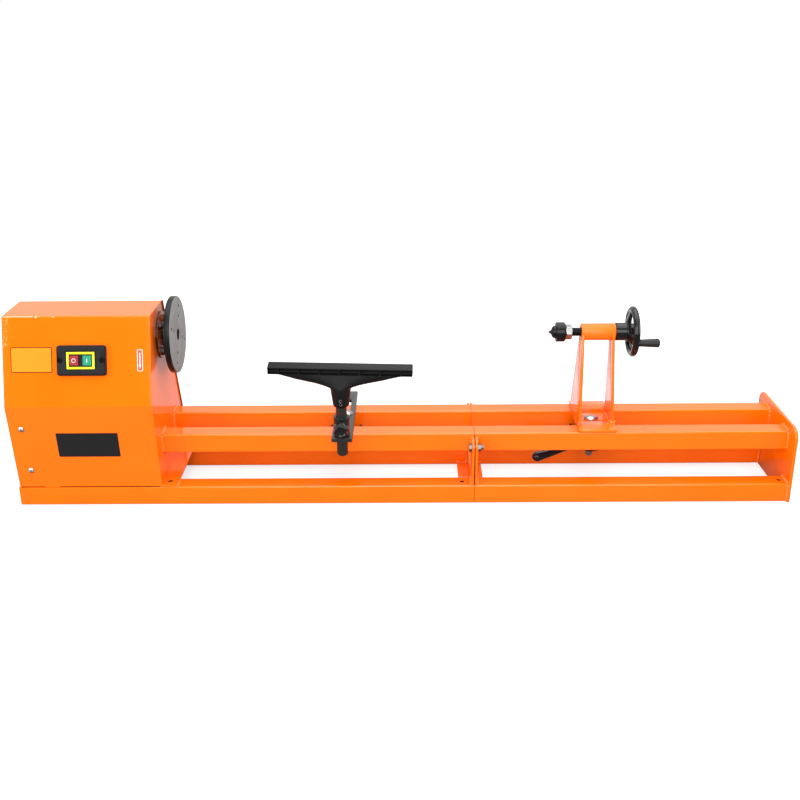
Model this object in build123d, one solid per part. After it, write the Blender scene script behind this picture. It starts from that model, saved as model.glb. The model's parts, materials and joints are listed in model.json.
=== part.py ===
from build123d import *
import os
from math import cos, hypot, radians, sin, tan

os.makedirs("parts", exist_ok=True)

# Benchtop wood lathe. Lengths in millimetres, X along the bed, Y to the rear, Z up from the bench.
# The origin lies on the bench under the middle of the joint between the two bed halves.

# Clearances
run_fit = 0.05
seat_fit = 0.02
slide_gap = 0.2
part_gap = 0.3

# Bed
tube = 35.0
tube_wall = 2.0
tube_corner = 3.0
rail_gap = 68.0
rail_top = 124.0
base_width = 196.0
half_bed = 557.0
bench_hole_d = 9.0
bench_hole_inset = 11.0
bench_mid_x = -21.5
end_plate_thick = 5.5
end_plate_margin = 3.0
end_plate_rise = 14.7
end_plate_corner = 20.0

# Joint in the middle of the bed
joint_plate_thick = 4.0
joint_split = 1.0
rail_seam = 1.0
joint_drop = 4.0
joint_corner = 16.0
joint_web = 12.0
joint_passage = 104.0
joint_foot_left = 24.0
joint_foot_right = 21.5
joint_foot_lift = 1.0
joint_bolt_edge = 14.0
joint_bolt_drop = 17.0
joint_bolt_tail = 11.0

# Hexagon fasteners
bolt_d = 8.0
bolt_across = 13.0
bolt_head = 5.3
nut_height = 6.5
hex_face_share = 0.95
hex_bevel = 30.0
bolt_hole_gap = 0.2
round_edge = 1.0

# Headstock sheet metal
head_length = 254.0
wall_thick = 3.0
side_thick = 2.0
sheet = 1.5
foot_width = 26.0
beam_overhang = 3.0
cover_gap = 2.0
bend_radius = 4.0
fold_out = 15.0
fold_height = 196.0
roof_inset = 33.0
roof_depth = 94.0
roof_rise = 55.0
rear_fold_out = 9.0
rear_fold_height = 110.0
tab_start = 46.0
tab_length = 23.0

# Pan-head screws on the front
pan_d = 10.5
pan_height = 3.4
pan_side = 1.0
pan_shank_d = 5.0
pan_slot = 1.4
pan_upper = 43.5
pan_lower = 126.0
pan_upper_x = 22.0
pan_lower_x = 25.5

# Spindle
centre_height = 165.0
spindle_d = 20.0
spindle_collar_d = 30.0
spindle_collar = 6.5
faceplate_d = 137.0
faceplate_thick = 11.0
faceplate_reach = 30.5
nose_recess = 2.5
nose_centre_d = 8.0
face_hole_d = 5.0
face_outer_pcd = 103.0
face_inner_pcd = 66.0
face_hole_turn = 27.0
face_hole_count = 4

# Spindle housing
flange_d = 84.5
flange_thick = 3.0
flange_pcd = 66.0
flange_bolts = 4
flange_turn = 45.0
flange_bolt_tail = 10.5
boss_d = 49.0
housing_length = 55.0
bearing_d = 42.0
bearing_width = 12.0
lip_gap = 1.5
housing_relief = 4.0
shield_depth = 1.0
shield_from = 0.3
shield_to = 0.7

# Belt drive
pulley_radii = (32.0, 26.0, 20.0)
pulley_step = 13.0
pulley_land = 2.0
groove_depth = 5.0
belt_thick = 5.4
pulley_space = 6.0
spindle_tail = 4.0

# Motor
motor_d = 110.0
motor_end_gap = 17.0
motor_wall = 15.0
motor_bell = 12.0
motor_foot = 12.0
motor_foot_width = 100.0
motor_foot_length = 36.0
motor_space = 10.0
motor_shaft_d = 14.0
rotor_gap = 1.0
motor_plate_thick = 3.0
motor_plate_gap = 3.5
motor_plate_margin = 8.0
motor_bolt_edge = 8.0

# Switch on the upper front panel
switch_x = 117.0
switch_up = 80.0
switch_width = 84.0
switch_height = 52.0
switch_thick = 9.0
switch_corner = 5.0
switch_chamfer = 1.5
switch_screw_spread = 71.6
switch_screw_d = 5.0
switch_bore_d = 9.0
switch_bore_depth = 4.0
switch_head = 2.4
switch_head_slot = 1.0
bezel_width = 47.4
bezel_height = 29.0
bezel_rise = 2.5
bezel_rim = 3.6
bezel_corner = 0.8
body_depth = 28.0
body_sink = 4.0
body_margin = 1.6
button_width = 14.3
button_height = 17.2
button_spread = 22.5
button_rise = 1.0
button_skirt = 8.0
button_travel = 3.0
button_well = 2.0

# Cable gland at the rear
gland_x = 49.0
gland_drop = 36.0
gland_across = 22.0
gland_hex = 6.0
gland_cap_d = 18.0
gland_cap = 11.0
gland_thread_d = 16.0
gland_thread = 9.0
gland_nut = 4.0
gland_bore_d = 8.4

# Tool rest
rest_x = -233.5
rest_bolt_y = 8.0
bar_width = 36.0
bar_thick = 6.5
bar_front = -106.0
bar_rear = 122.0
slot_width = 17.0
slot_front = -60.0
slot_rear = 81.0
guide_length = 24.0
post_y = -92.0
post_d = 19.0
post_bottom = 94.0
post_chamfer = 3.0
socket_d = 27.6
socket_height = 37.3
lock_height = 21.0
lock_screw_d = 8.0
lock_knob_d = 27.5
lock_knob_depth = 13.0
lock_neck_d = 13.0
lock_neck = 6.0
lock_lobes = 6
rest_bolt_d = 10.0
rest_bolt_head_d = 25.0
rest_bolt_head = 5.5
head_side = 1.2
washer_thick = 1.6
washer_margin = 1.5
clamp_thick = 6.0
clamp_width = 90.0
rest_clamp_length = 58.0
tab_thick = 4.0
tab_width = 11.0
tab_rise = 9.0
tab_side = 0.8
clamp_knob_d = 44.0
clamp_knob_height = 20.0
clamp_knob_lobes = 5
knob_cap = 3.0
lobe_share = 0.15
core_share = 0.4

# Head of the tool rest
rest_drop = 25.0
rest_length = 249.0
rest_turn = -4.0
rest_band = 5.5
rest_height = 17.5
rest_front = 10.0
rest_back = 7.0
rest_ridge = 3.0
rest_lip = 1.5
rest_recess = 9.0
rest_rib = 2.0
rest_rib_inset = 0.4
rest_rib_pitch = 35.1
rest_rib_count = 7
fan_width = 208.0
fan_drop = 24.0
hub_top_d = 36.5
hub_bottom_d = 28.0
hub_rise = 18.0
hub_chamfer = 3.6
post_top_drop = 37.0
set_screw_d = 5.0
set_screw_socket_d = 2.6
set_screw_socket = 1.6
set_screw_sink = 0.6
set_screw_first = 8.5
set_screw_pitch = 7.0

# Tailstock
tail_x = 218.0
tail_ahead = 31.5
tail_behind = 34.5
tail_width = 140.0
tail_thick = 4.5
tail_bend = 3.5
channel_depth = 6.0
channel_side = 0.8
leg_thick = 4.5
left_leg_lean = 4.0
right_leg_lean = -4.5
left_leg_foot = 110.0
right_leg_foot = 75.0
barrel_d = 30.0
barrel_inset_left = 3.5
barrel_inset_right = 2.5
tail_bolt_d = 8.0
tail_bolt_head_d = 26.0
tail_bolt_head = 5.0
tail_clamp_length = 68.0

# Clamp lever under the tailstock
lever_angle = 198.7
lever_hub_d = 15.0
lever_hub = 24.0
lever_strap_width = 15.0
lever_strap_thick = 5.0
lever_strap_tail = 16.5
lever_root = 18.5
lever_tilt = 8.3
cap_nut_across = 13.0
cap_nut_height = 5.0
cap_nut_dome = 6.0
cap_nut_wall = 2.0
lever_rod_d = 6.0
grip_start = 30.0
grip_length = 77.0
grip_thin_d = 8.0
grip_ball_d = 18.4

# Feed screw, live centre and handwheel
screw_d = 16.0
screw_shown = 16.5
screw_nose_d = 12.0
lock_nut_across = 24.0
lock_nut_width = 11.3
centre_d = 35.0
centre_width = 16.8
dome_root_d = 23.0
dome_d = 8.4
dome_length = 7.6
dome_bulge = 1.7
tip_length = 6.4
centre_bevel = 2.2
centre_bearing_d = 28.0
centre_bearing_width = 10.0
centre_floor = 3.4
collar_d = 32.0
collar_length = 20.7
wheel_plane = 31.0
wheel_d = 90.0
wheel_rim_d = 12.0
wheel_hub_d = 28.0
wheel_web = 6.0
wheel_spoke = 15.0
wheel_spokes = 3
wheel_window_margin = 2.0
screw_tail = 2.0
crank_radius = 38.0
crank_angle = 194.0
crank_boss_d = 13.0
crank_boss = 6.0
crank_pin_d = 8.0
crank_pin_root = 4.0
handle_length = 35.5
handle_root_d = 12.6
handle_d = 16.2
handle_end = 3.5

# Derived places
spindle_z = rail_top + centre_height
rail_bottom = rail_top - tube
rail_y = rail_gap / 2 + tube / 2
rail_z = rail_top - tube / 2
seam_half = rail_seam / 2
beam_y = base_width / 2 - tube / 2
base_half = base_width / 2
wall_out = -half_bed
wall_in = wall_out - wall_thick
head_left = wall_out - head_length
cover_left = head_left + side_thick
cover_bottom = tube + cover_gap
head_top = spindle_z + roof_rise
front_base = (-base_half, cover_bottom)
front_fold = (-base_half - fold_out, fold_height)
top_front = (-base_half + roof_inset, head_top)
top_rear = (-base_half + roof_inset + roof_depth, head_top)
rear_fold = (base_half + rear_fold_out, rear_fold_height)
rear_base = (base_half, cover_bottom)
housing_in = wall_out - housing_length
pulley_right = housing_in - pulley_space
pulley_left = pulley_right - pulley_step * len(pulley_radii)
motor_right = pulley_left - motor_space
motor_length = motor_right - cover_left - motor_end_gap
motor_left = motor_right - motor_length
motor_plate_top = tube + motor_plate_thick
motor_z = motor_plate_top + motor_foot + motor_d / 2
face_front = wall_out + faceplate_reach
face_back = face_front - faceplate_thick
bar_bottom = rail_top + slide_gap
bar_top = bar_bottom + bar_thick
clamp_top = rail_bottom - slide_gap
clamp_bottom = clamp_top - clamp_thick
socket_top = bar_top + socket_height
lock_z = bar_top + lock_height
rest_top = spindle_z - rest_drop
rest_bottom = rest_top - rest_height
hub_bottom = socket_top + hub_rise
post_top = rest_top - post_top_drop
tail_left = tail_x - tail_ahead
tail_right = tail_x + tail_behind
tail_length = tail_right - tail_left
tail_bottom = rail_top + slide_gap
tail_top = tail_bottom + tail_thick
barrel_left = tail_left + barrel_inset_left
barrel_right = tail_right - barrel_inset_right
nut_right = barrel_left - screw_shown
nut_left = nut_right - lock_nut_width
centre_right = nut_left - part_gap
centre_left = centre_right - centre_width
wheel_left = barrel_right + part_gap
wheel_x = wheel_left + wheel_plane


def block(x0, x1, y0, y1, z0, z1):
    """Box between two opposite corners."""
    return Pos((x0 + x1) / 2, (y0 + y1) / 2, (z0 + z1) / 2) * Box(x1 - x0, y1 - y0, z1 - z0)


def rod_x(x0, x1, radius, y=0.0, z=0.0):
    """Round bar along X."""
    face = Plane((x0, y, z), x_dir=(0, 1, 0), z_dir=(1, 0, 0)) * Circle(radius)
    return extrude(face, x1 - x0, dir=(1, 0, 0))


def rod_y(y0, y1, radius, x=0.0, z=0.0):
    """Round bar along Y."""
    face = Plane((x, y0, z), x_dir=(1, 0, 0), z_dir=(0, 1, 0)) * Circle(radius)
    return extrude(face, y1 - y0, dir=(0, 1, 0))


def rod_z(z0, z1, radius, x=0.0, y=0.0):
    """Round bar along Z."""
    return extrude(Pos(x, y, z0) * Circle(radius), z1 - z0, dir=(0, 0, 1))


def hex_x(x0, x1, across, y=0.0, z=0.0):
    """Hexagon bar along X with its corners turned off at both ends."""
    hexagon = RegularPolygon(across / 2, 6, major_radius=False)
    face = Plane((x0, y, z), x_dir=(0, 1, 0), z_dir=(1, 0, 0)) * hexagon
    corner_r = across / 2 / cos(radians(30))
    face_r = hex_face_share * across / 2
    slope = (corner_r - face_r) * tan(radians(hex_bevel))
    ends = [(x0, 0.0), (x0, face_r), (x0 + slope, corner_r)]
    ends += [(x1 - slope, corner_r), (x1, face_r), (x1, 0.0)]
    return extrude(face, x1 - x0, dir=(1, 0, 0)) & turned_x(ends, y, z)


def prism_x(points, x0, x1):
    """Outline of (Y, Z) points carried along X."""
    return extrude(Plane.YZ.offset(x0) * Polygon(*points, align=None), x1 - x0, dir=(1, 0, 0))


def prism_y(points, y0, y1):
    """Outline of (X, Z) points carried along Y."""
    return extrude(Plane.XZ.offset(-y0) * Polygon(*points, align=None), y1 - y0, dir=(0, 1, 0))


def turned_x(points, y=0.0, z=0.0):
    """Outline of (X, radius) points turned about an axis along X."""
    return Pos(0, y, z) * revolve(Polygon(*points, align=None), Axis.X)


def turned_z(points, x=0.0, y=0.0):
    """Outline of (radius, Z) points turned about an axis along Z."""
    return Pos(x, y, 0) * revolve(Plane.XZ * Polygon(*points, align=None), Axis.Z)


def domed(base_r, bottom, top, side=0.0):
    """Round head about Z with a short straight side under its dome."""
    rise = top - bottom - side
    sphere_r = (base_r**2 + rise**2) / (2 * rise)
    return rod_z(bottom, top, base_r) & (Pos(0, 0, top - sphere_r) * Sphere(sphere_r))


def square_tube(x0, x1, y, z):
    """Square tube along X."""
    section = RectangleRounded(tube, tube, tube_corner)
    section -= RectangleRounded(tube - 2 * tube_wall, tube - 2 * tube_wall, tube_corner - tube_wall / 2)
    return extrude(Plane((x0, y, z), x_dir=(0, 1, 0), z_dir=(1, 0, 0)) * section, x1 - x0, dir=(1, 0, 0))


def panel_frame(start, end, x, distance):
    """Plane on a headstock panel, a distance from its start edge, with its normal outward."""
    length = hypot(end[0] - start[0], end[1] - start[1])
    along = ((end[0] - start[0]) / length, (end[1] - start[1]) / length)
    origin = (x, start[0] + along[0] * distance, start[1] + along[1] * distance)
    return Plane(origin, x_dir=(1, 0, 0), z_dir=(0, -along[1], along[0]))


def star_outline(diameter, lobes):
    """Outline of a star knob."""
    lobe = lobe_share * diameter
    outline = Circle(core_share * diameter)
    outline += [place * Circle(lobe) for place in PolarLocations(diameter / 2 - lobe, lobes)]
    return outline


def hex_bolt_x(seat, grip, y, z, tail):
    """Hexagon bolt along X with its head on the left of the seat and a nut at the end of the grip."""
    bolt = hex_x(seat - bolt_head, seat, bolt_across, y, z)
    bolt += rod_x(seat, seat + grip + tail, bolt_d / 2, y, z)
    nut = hex_x(seat + grip, seat + grip + nut_height, bolt_across, y, z)
    nut -= rod_x(seat, seat + grip + tail, bolt_d / 2 + seat_fit, y, z)
    return bolt, nut


parts = {}

# Rails and base beams
bench_xs = (bench_hole_inset - half_bed, bench_mid_x, half_bed - bench_hole_inset)
for side_name, side in (("front", -1), ("rear", 1)):
    parts[f"left_{side_name}_rail"] = square_tube(wall_out, -seam_half, side * rail_y, rail_z)
    parts[f"right_{side_name}_rail"] = square_tube(seam_half, half_bed, side * rail_y, rail_z)
    left_beam = square_tube(head_left - beam_overhang, -seam_half, side * beam_y, tube / 2)
    right_beam = square_tube(seam_half, half_bed, side * beam_y, tube / 2)
    for bench_x in bench_xs:
        bench_hole = rod_z(-tube, 2 * tube, bench_hole_d / 2, bench_x, side * beam_y)
        left_beam -= bench_hole
        right_beam -= bench_hole
    parts[f"left_{side_name}_beam"] = left_beam
    parts[f"right_{side_name}_beam"] = right_beam

# Joint plates with their feet
joint_top = rail_top - joint_drop
joint_bolt_y = base_half - joint_bolt_edge
joint_bolt_z = joint_top - joint_bolt_drop
joint_outline = Pos(0, (tube + joint_top) / 2) * Rectangle(base_width, joint_top - tube)
joint_outline = fillet([v for v in joint_outline.vertices() if v.Y > rail_bottom], joint_corner)
foot_half = base_half - tube
joint_outline += Pos(0, (joint_foot_lift + tube) / 2) * Rectangle(2 * foot_half, tube - joint_foot_lift)
passage_floor = tube + joint_web
joint_outline -= Pos(0, passage_floor + tube * 2) * Rectangle(joint_passage, tube * 4)
for side in (-1, 1):
    joint_outline -= Pos(side * rail_y, rail_z) * Rectangle(tube, tube)
    joint_outline -= Pos(side * joint_bolt_y, joint_bolt_z) * Circle(bolt_d / 2 + bolt_hole_gap)
foot_top = joint_foot_lift + joint_plate_thick
for name, near, far, foot in (
    ("left", -joint_split - joint_plate_thick, -joint_split, -joint_foot_left),
    ("right", joint_split, joint_split + joint_plate_thick, joint_foot_right),
):
    joint_plate = extrude(Plane.YZ.offset(near) * joint_outline, far - near, dir=(1, 0, 0))
    foot_ends = sorted((foot, near if foot > 0 else far))
    joint_plate += block(foot_ends[0], foot_ends[1], -foot_half, foot_half, joint_foot_lift, foot_top)
    parts[f"{name}_joint_plate"] = joint_plate
joint_grip = 2 * (joint_split + joint_plate_thick)
joint_set = []
for side in (-1, 1):
    joint_set += hex_bolt_x(-joint_grip / 2, joint_grip, side * joint_bolt_y, joint_bolt_z, joint_bolt_tail)
parts["joint_fasteners"] = Compound(joint_set)

# End plate
end_half = base_half + end_plate_margin
end_top = rail_top + end_plate_rise
end_outline = Pos(0, end_top / 2) * Rectangle(2 * end_half, end_top)
end_outline = fillet([v for v in end_outline.vertices() if v.Y > rail_top], end_plate_corner)
parts["end_plate"] = extrude(Plane.YZ.offset(half_bed) * end_outline, end_plate_thick, dir=(1, 0, 0))


def head_outline(bottom):
    """Cross-section of the headstock above the given height."""
    points = [(-base_half, bottom), front_fold, top_front, top_rear, rear_fold, (base_half, bottom)]
    outline = Polygon(*points, align=None)
    return fillet([v for v in outline.vertices() if v.Y > bottom + cover_gap], bend_radius)


# Headstock wall with its foot on the beams
wall = extrude(Plane.YZ.offset(wall_in) * head_outline(tube), wall_thick, dir=(1, 0, 0))
wall += block(wall_in, wall_out + foot_width, -base_half, base_half, tube, tube + wall_thick)
wall -= rod_x(wall_in - wall_thick, wall_out + wall_thick, boss_d / 2 + slide_gap, 0.0, spindle_z)
flange_places = []
for corner in range(flange_bolts):
    turn = radians(flange_turn + 360 / flange_bolts * corner)
    flange_places.append((flange_pcd / 2 * cos(turn), spindle_z + flange_pcd / 2 * sin(turn)))
for y, z in flange_places:
    wall -= rod_x(wall_in - wall_thick, wall_out + wall_thick, bolt_d / 2 + bolt_hole_gap, y, z)
for side in (-1, 1):
    wall -= rod_z(0.0, 2 * tube, bench_hole_d / 2, bench_xs[0], side * beam_y)
parts["headstock_wall"] = wall

# Side plate
side_face = Plane.YZ.offset(head_left) * head_outline(tube)
parts["headstock_side"] = extrude(side_face, side_thick, dir=(1, 0, 0))

# Sheet cover, open below, with a seat tab on each beam
cover_length = wall_in - cover_left
cover_outer = head_outline(cover_bottom)
cover_inner = offset(cover_outer, -sheet)
cover = extrude(Plane.YZ.offset(cover_left) * cover_outer, cover_length, dir=(1, 0, 0))
cover -= extrude(Plane.YZ.offset(cover_left) * cover_inner, cover_length, dir=(1, 0, 0))
cover -= block(cover_left, wall_in, -base_half + sheet, base_half - sheet, tube, cover_bottom + 2 * sheet)
tab_left = head_left + tab_start
for side in (-1, 1):
    tab_y = side * (base_half - sheet / 2)
    tab_right = tab_left + tab_length
    cover += block(tab_left, tab_right, tab_y - sheet / 2, tab_y + sheet / 2, tube, cover_bottom)

# Switch places on the upper front panel
switch_frame = panel_frame(front_fold, top_front, wall_out - switch_x, switch_up)
inner_width = bezel_width - 2 * bezel_rim
inner_height = bezel_height - 2 * bezel_rim
body_width = bezel_width - 2 * body_margin
body_height = bezel_height - 2 * body_margin
cover -= switch_frame * Box(body_width + 2 * part_gap, body_height + 2 * part_gap, 4 * sheet)
screw_places = [(side * switch_screw_spread / 2, 0.0) for side in (-1, 1)]
for x, y in screw_places:
    cover -= switch_frame * Pos(x, y) * Cylinder(switch_screw_d / 2 + slide_gap, 4 * sheet)

# Pan-head screws on the lower front panel
pan_frames = [
    panel_frame(front_fold, front_base, head_left + pan_upper_x, pan_upper),
    panel_frame(front_fold, front_base, head_left + pan_lower_x, pan_lower),
]
pan_screws = []
for frame in pan_frames:
    frame = Plane(frame.origin, x_dir=(1, 0, 0), z_dir=-frame.z_dir)
    cover -= frame * Cylinder(pan_shank_d / 2 + slide_gap, 4 * sheet)
    dome = domed(pan_d / 2, 0.0, pan_height, pan_side)
    dome -= Pos(0, 0, pan_height) * Box(pan_d, pan_slot, pan_height)
    dome += Pos(0, 0, -2 * sheet) * Cylinder(pan_shank_d / 2, 4 * sheet)
    pan_screws.append(frame * dome)

# Cable gland on the lower rear panel
gland_frame = panel_frame(rear_fold, rear_base, head_left + gland_x, gland_drop)
cover -= gland_frame * Cylinder(gland_thread_d / 2 + slide_gap, 4 * sheet)
gland = gland_frame * extrude(RegularPolygon(gland_across / 2, 6, major_radius=False), gland_hex)
gland += gland_frame * Pos(0, 0, gland_hex) * extrude(Circle(gland_cap_d / 2), gland_cap)
gland += gland_frame * extrude(Circle(gland_thread_d / 2), -gland_thread)
inner_nut = extrude(RegularPolygon(gland_across / 2, 6, major_radius=False), -gland_nut)
gland += gland_frame * Pos(0, 0, -sheet) * inner_nut
gland -= gland_frame * Cylinder(gland_bore_d / 2, 4 * (gland_cap + gland_hex))
parts["cable_gland"] = gland
parts["headstock_cover"] = cover

# Switch plate, its screws, the body behind it, the bezel and the two buttons
plate_outline = RectangleRounded(switch_width, switch_height, switch_corner)
switch_plate = switch_frame * extrude(plate_outline, switch_thick)
front_edges = switch_plate.faces().sort_by(Axis(switch_frame.origin, switch_frame.z_dir))[-1].edges()
switch_plate = chamfer(front_edges, switch_chamfer)
body_hole = Rectangle(body_width + 2 * slide_gap, body_height + 2 * slide_gap)
switch_plate -= switch_frame * extrude(body_hole, 2 * switch_thick, both=True)
switch_screws = []
for x, y in screw_places:
    seat = Pos(x, y, switch_thick - switch_bore_depth)
    switch_plate -= switch_frame * seat * extrude(Circle(switch_bore_d / 2), switch_thick)
    switch_plate -= switch_frame * Pos(x, y) * Cylinder(switch_screw_d / 2 + slide_gap, 4 * switch_thick)
    head = extrude(Circle(switch_bore_d / 2 - slide_gap), switch_head)
    head -= Pos(0, 0, switch_head) * Box(switch_bore_d, pan_slot, 2 * switch_head_slot)
    head += extrude(Circle(switch_screw_d / 2), -switch_thick - sheet)
    switch_screws.append(switch_frame * seat * head)
parts["switch_plate"] = switch_plate
parts["panel_screws"] = Compound(pan_screws + switch_screws)

bezel_ring = RectangleRounded(bezel_width, bezel_height, bezel_corner)
bezel_ring -= Rectangle(inner_width, inner_height)
parts["switch_bezel"] = switch_frame * Pos(0, 0, switch_thick) * extrude(bezel_ring, bezel_rise)

body_front = switch_thick - body_sink
skirt_bottom = body_front - button_skirt
well_bottom = skirt_bottom - button_travel - button_well
body_outline = Rectangle(body_width, body_height)
switch_body = Pos(0, 0, -body_depth) * extrude(body_outline, body_depth + switch_thick)
switch_body -= Pos(0, 0, body_front) * extrude(Rectangle(inner_width, inner_height), switch_thick)
button_top = switch_thick + bezel_rise + button_rise
for name, side in (("stop_button", -1), ("start_button", 1)):
    place = Pos(side * button_spread / 2, 0, 0)
    well = Rectangle(button_width + 2 * part_gap, button_height + 2 * part_gap)
    switch_body -= place * Pos(0, 0, well_bottom) * extrude(well, 2 * switch_thick + body_depth)
    button_outline = Rectangle(button_width, button_height)
    button = place * Pos(0, 0, skirt_bottom) * extrude(button_outline, button_top - skirt_bottom)
    button = fillet(button.faces().sort_by(Axis.Z)[-1].edges(), button_rise)
    parts[name] = switch_frame * button
parts["switch_body"] = switch_frame * switch_body

# Spindle housing on the wall, its bolts and its two bearings
seat_r = bearing_d / 2 + seat_fit
lip_r = spindle_d / 2 + lip_gap
relief_r = bearing_d / 2 - housing_relief
housing = turned_x(
    [
        (wall_out + flange_thick, lip_r),
        (wall_out + flange_thick, flange_d / 2),
        (wall_out, flange_d / 2),
        (wall_out, boss_d / 2),
        (housing_in, boss_d / 2),
        (housing_in, seat_r),
        (housing_in + bearing_width, seat_r),
        (housing_in + bearing_width, relief_r),
        (wall_out - bearing_width, relief_r),
        (wall_out - bearing_width, seat_r),
        (wall_out, seat_r),
        (wall_out, lip_r),
    ],
    z=spindle_z,
)
housing_set = []
for y, z in flange_places:
    housing -= rod_x(wall_in, wall_out + 2 * flange_thick, bolt_d / 2 + bolt_hole_gap, y, z)
    housing_set += hex_bolt_x(wall_in, wall_thick + flange_thick, y, z, flange_bolt_tail)
parts["spindle_housing"] = housing


def bearing_ring(left, width, bore_r, outer_r, z):
    """Ball bearing with shallow shields between its rings."""
    inner = bore_r + shield_from * (outer_r - bore_r)
    outer = bore_r + shield_to * (outer_r - bore_r)
    right = left + width
    deep_left = left + shield_depth
    deep_right = right - shield_depth
    points = [(left, bore_r), (left, inner), (deep_left, inner), (deep_left, outer), (left, outer)]
    points += [(left, outer_r), (right, outer_r), (right, outer), (deep_right, outer)]
    points += [(deep_right, inner), (right, inner), (right, bore_r)]
    return turned_x(points, z=z)


bearing_bore = spindle_d / 2 + run_fit
parts["spindle_bearings"] = Compound(
    [
        bearing_ring(housing_in, bearing_width, bearing_bore, bearing_d / 2, spindle_z),
        bearing_ring(wall_out - bearing_width, bearing_width, bearing_bore, bearing_d / 2, spindle_z),
    ]
)

# Spindle and faceplate
nose_end = face_front - nose_recess
spindle_r = spindle_d / 2
parts["spindle"] = turned_x(
    [
        (pulley_left - spindle_tail, 0.0),
        (pulley_left - spindle_tail, spindle_r),
        (face_back - spindle_collar, spindle_r),
        (face_back - spindle_collar, spindle_collar_d / 2),
        (face_back, spindle_collar_d / 2),
        (face_back, spindle_r),
        (nose_end, spindle_r),
        (nose_end, nose_centre_d / 2),
        (nose_end - nose_centre_d, 0.0),
    ],
    z=spindle_z,
)
faceplate = turned_x(
    [
        (face_back, spindle_r + seat_fit),
        (face_back, faceplate_d / 2 - round_edge),
        (face_back + round_edge, faceplate_d / 2),
        (face_front - round_edge, faceplate_d / 2),
        (face_front, faceplate_d / 2 - round_edge),
        (face_front, spindle_r + seat_fit),
    ],
    z=spindle_z,
)
for hole_pcd in (face_outer_pcd, face_inner_pcd):
    for index in range(face_hole_count):
        turn = radians(90 - face_hole_turn + 360 / face_hole_count * index)
        hole_y = hole_pcd / 2 * cos(turn)
        hole_z = spindle_z + hole_pcd / 2 * sin(turn)
        hole_ends = (face_back - faceplate_thick, face_front + faceplate_thick)
        faceplate -= rod_x(*hole_ends, face_hole_d / 2, hole_y, hole_z)
parts["faceplate"] = faceplate


def stepped_pulley(radii, bore_r, z):
    """Pulley with one belt groove for each radius, from left to right."""
    points = [(pulley_left, bore_r)]
    for index, radius in enumerate(radii):
        left = pulley_left + index * pulley_step
        right = left + pulley_step
        top = radius + groove_depth
        points += [(left, top), (left + pulley_land, top), (left + pulley_land, radius)]
        points += [(right - pulley_land, radius), (right - pulley_land, top), (right, top)]
    points.append((pulley_right, bore_r))
    return turned_x(points, z=z)


# Belt drive
motor_radii = tuple(reversed(pulley_radii))
motor_shaft_r = motor_shaft_d / 2
parts["spindle_pulley"] = stepped_pulley(pulley_radii, spindle_r + seat_fit, spindle_z)
parts["motor_pulley"] = stepped_pulley(motor_radii, motor_shaft_r + seat_fit, motor_z)
belt_loops = []
for grow in (part_gap + belt_thick, part_gap):
    upper = Pos(0, spindle_z) * Circle(pulley_radii[0] + grow)
    lower = Pos(0, motor_z) * Circle(motor_radii[0] + grow)
    belt_loops.append(make_hull(upper.edges() + lower.edges()))
belt_left = pulley_left + pulley_land + part_gap
belt_width = pulley_step - 2 * pulley_land - 2 * part_gap
belt_section = Plane.YZ.offset(belt_left) * (belt_loops[0] - belt_loops[1])
parts["drive_belt"] = extrude(belt_section, belt_width, dir=(1, 0, 0))

# Motor on its plate
plate_left = cover_left + motor_plate_margin
plate_right = wall_in - motor_plate_margin
plate_half = base_half - sheet - motor_plate_gap
motor_plate = block(plate_left, plate_right, -plate_half, plate_half, tube, motor_plate_top)
motor = rod_x(motor_left, motor_right, motor_d / 2, 0.0, motor_z)
foot_centres = (motor_left + motor_foot_length / 2, motor_right - motor_foot_length / 2)
motor_set = []
for centre in foot_centres:
    left = centre - motor_foot_length / 2
    right = centre + motor_foot_length / 2
    foot_half_width = motor_foot_width / 2
    foot_top = motor_plate_top + motor_foot
    motor += block(left, right, -foot_half_width, foot_half_width, motor_plate_top, foot_top)
    motor += block(left, right, -foot_half_width / 2, foot_half_width / 2, motor_plate_top, motor_z)
core_r = motor_d / 2 - motor_wall
motor -= rod_x(motor_left + motor_bell, motor_right - motor_bell, core_r, 0.0, motor_z)
motor -= rod_x(motor_left + motor_bell / 2, motor_right + motor_bell, motor_shaft_r + run_fit, 0.0, motor_z)
for centre in foot_centres:
    for side in (-1, 1):
        bolt_y = side * (motor_foot_width / 2 - motor_bolt_edge)
        hole = rod_z(0.0, motor_plate_top + 2 * motor_foot, bolt_d / 2 + bolt_hole_gap, centre, bolt_y)
        motor -= hole
        motor_plate -= hole
        seat = motor_plate_top + motor_foot
        hexagon = Pos(centre, bolt_y, seat) * RegularPolygon(bolt_across / 2, 6, major_radius=False)
        bolt = extrude(hexagon, bolt_head, dir=(0, 0, 1))
        bolt += rod_z(tube - nut_height - tube_wall, seat, bolt_d / 2, centre, bolt_y)
        nut = extrude(Pos(0, 0, tube - nut_height - seat) * hexagon, nut_height, dir=(0, 0, 1))
        nut -= rod_z(0.0, seat, bolt_d / 2 + seat_fit, centre, bolt_y)
        motor_set += [bolt, nut]
parts["motor_plate"] = motor_plate
parts["motor_body"] = motor
parts["headstock_fasteners"] = Compound(housing_set + motor_set)
rotor_r = core_r - rotor_gap
parts["motor_shaft"] = turned_x(
    [
        (motor_left + motor_bell / 2 + part_gap, 0.0),
        (motor_left + motor_bell / 2 + part_gap, motor_shaft_r),
        (motor_left + motor_bell + rotor_gap, motor_shaft_r),
        (motor_left + motor_bell + rotor_gap, rotor_r),
        (motor_right - motor_bell - rotor_gap, rotor_r),
        (motor_right - motor_bell - rotor_gap, motor_shaft_r),
        (pulley_right + spindle_tail, motor_shaft_r),
        (pulley_right + spindle_tail, 0.0),
    ],
    z=motor_z,
)

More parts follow.
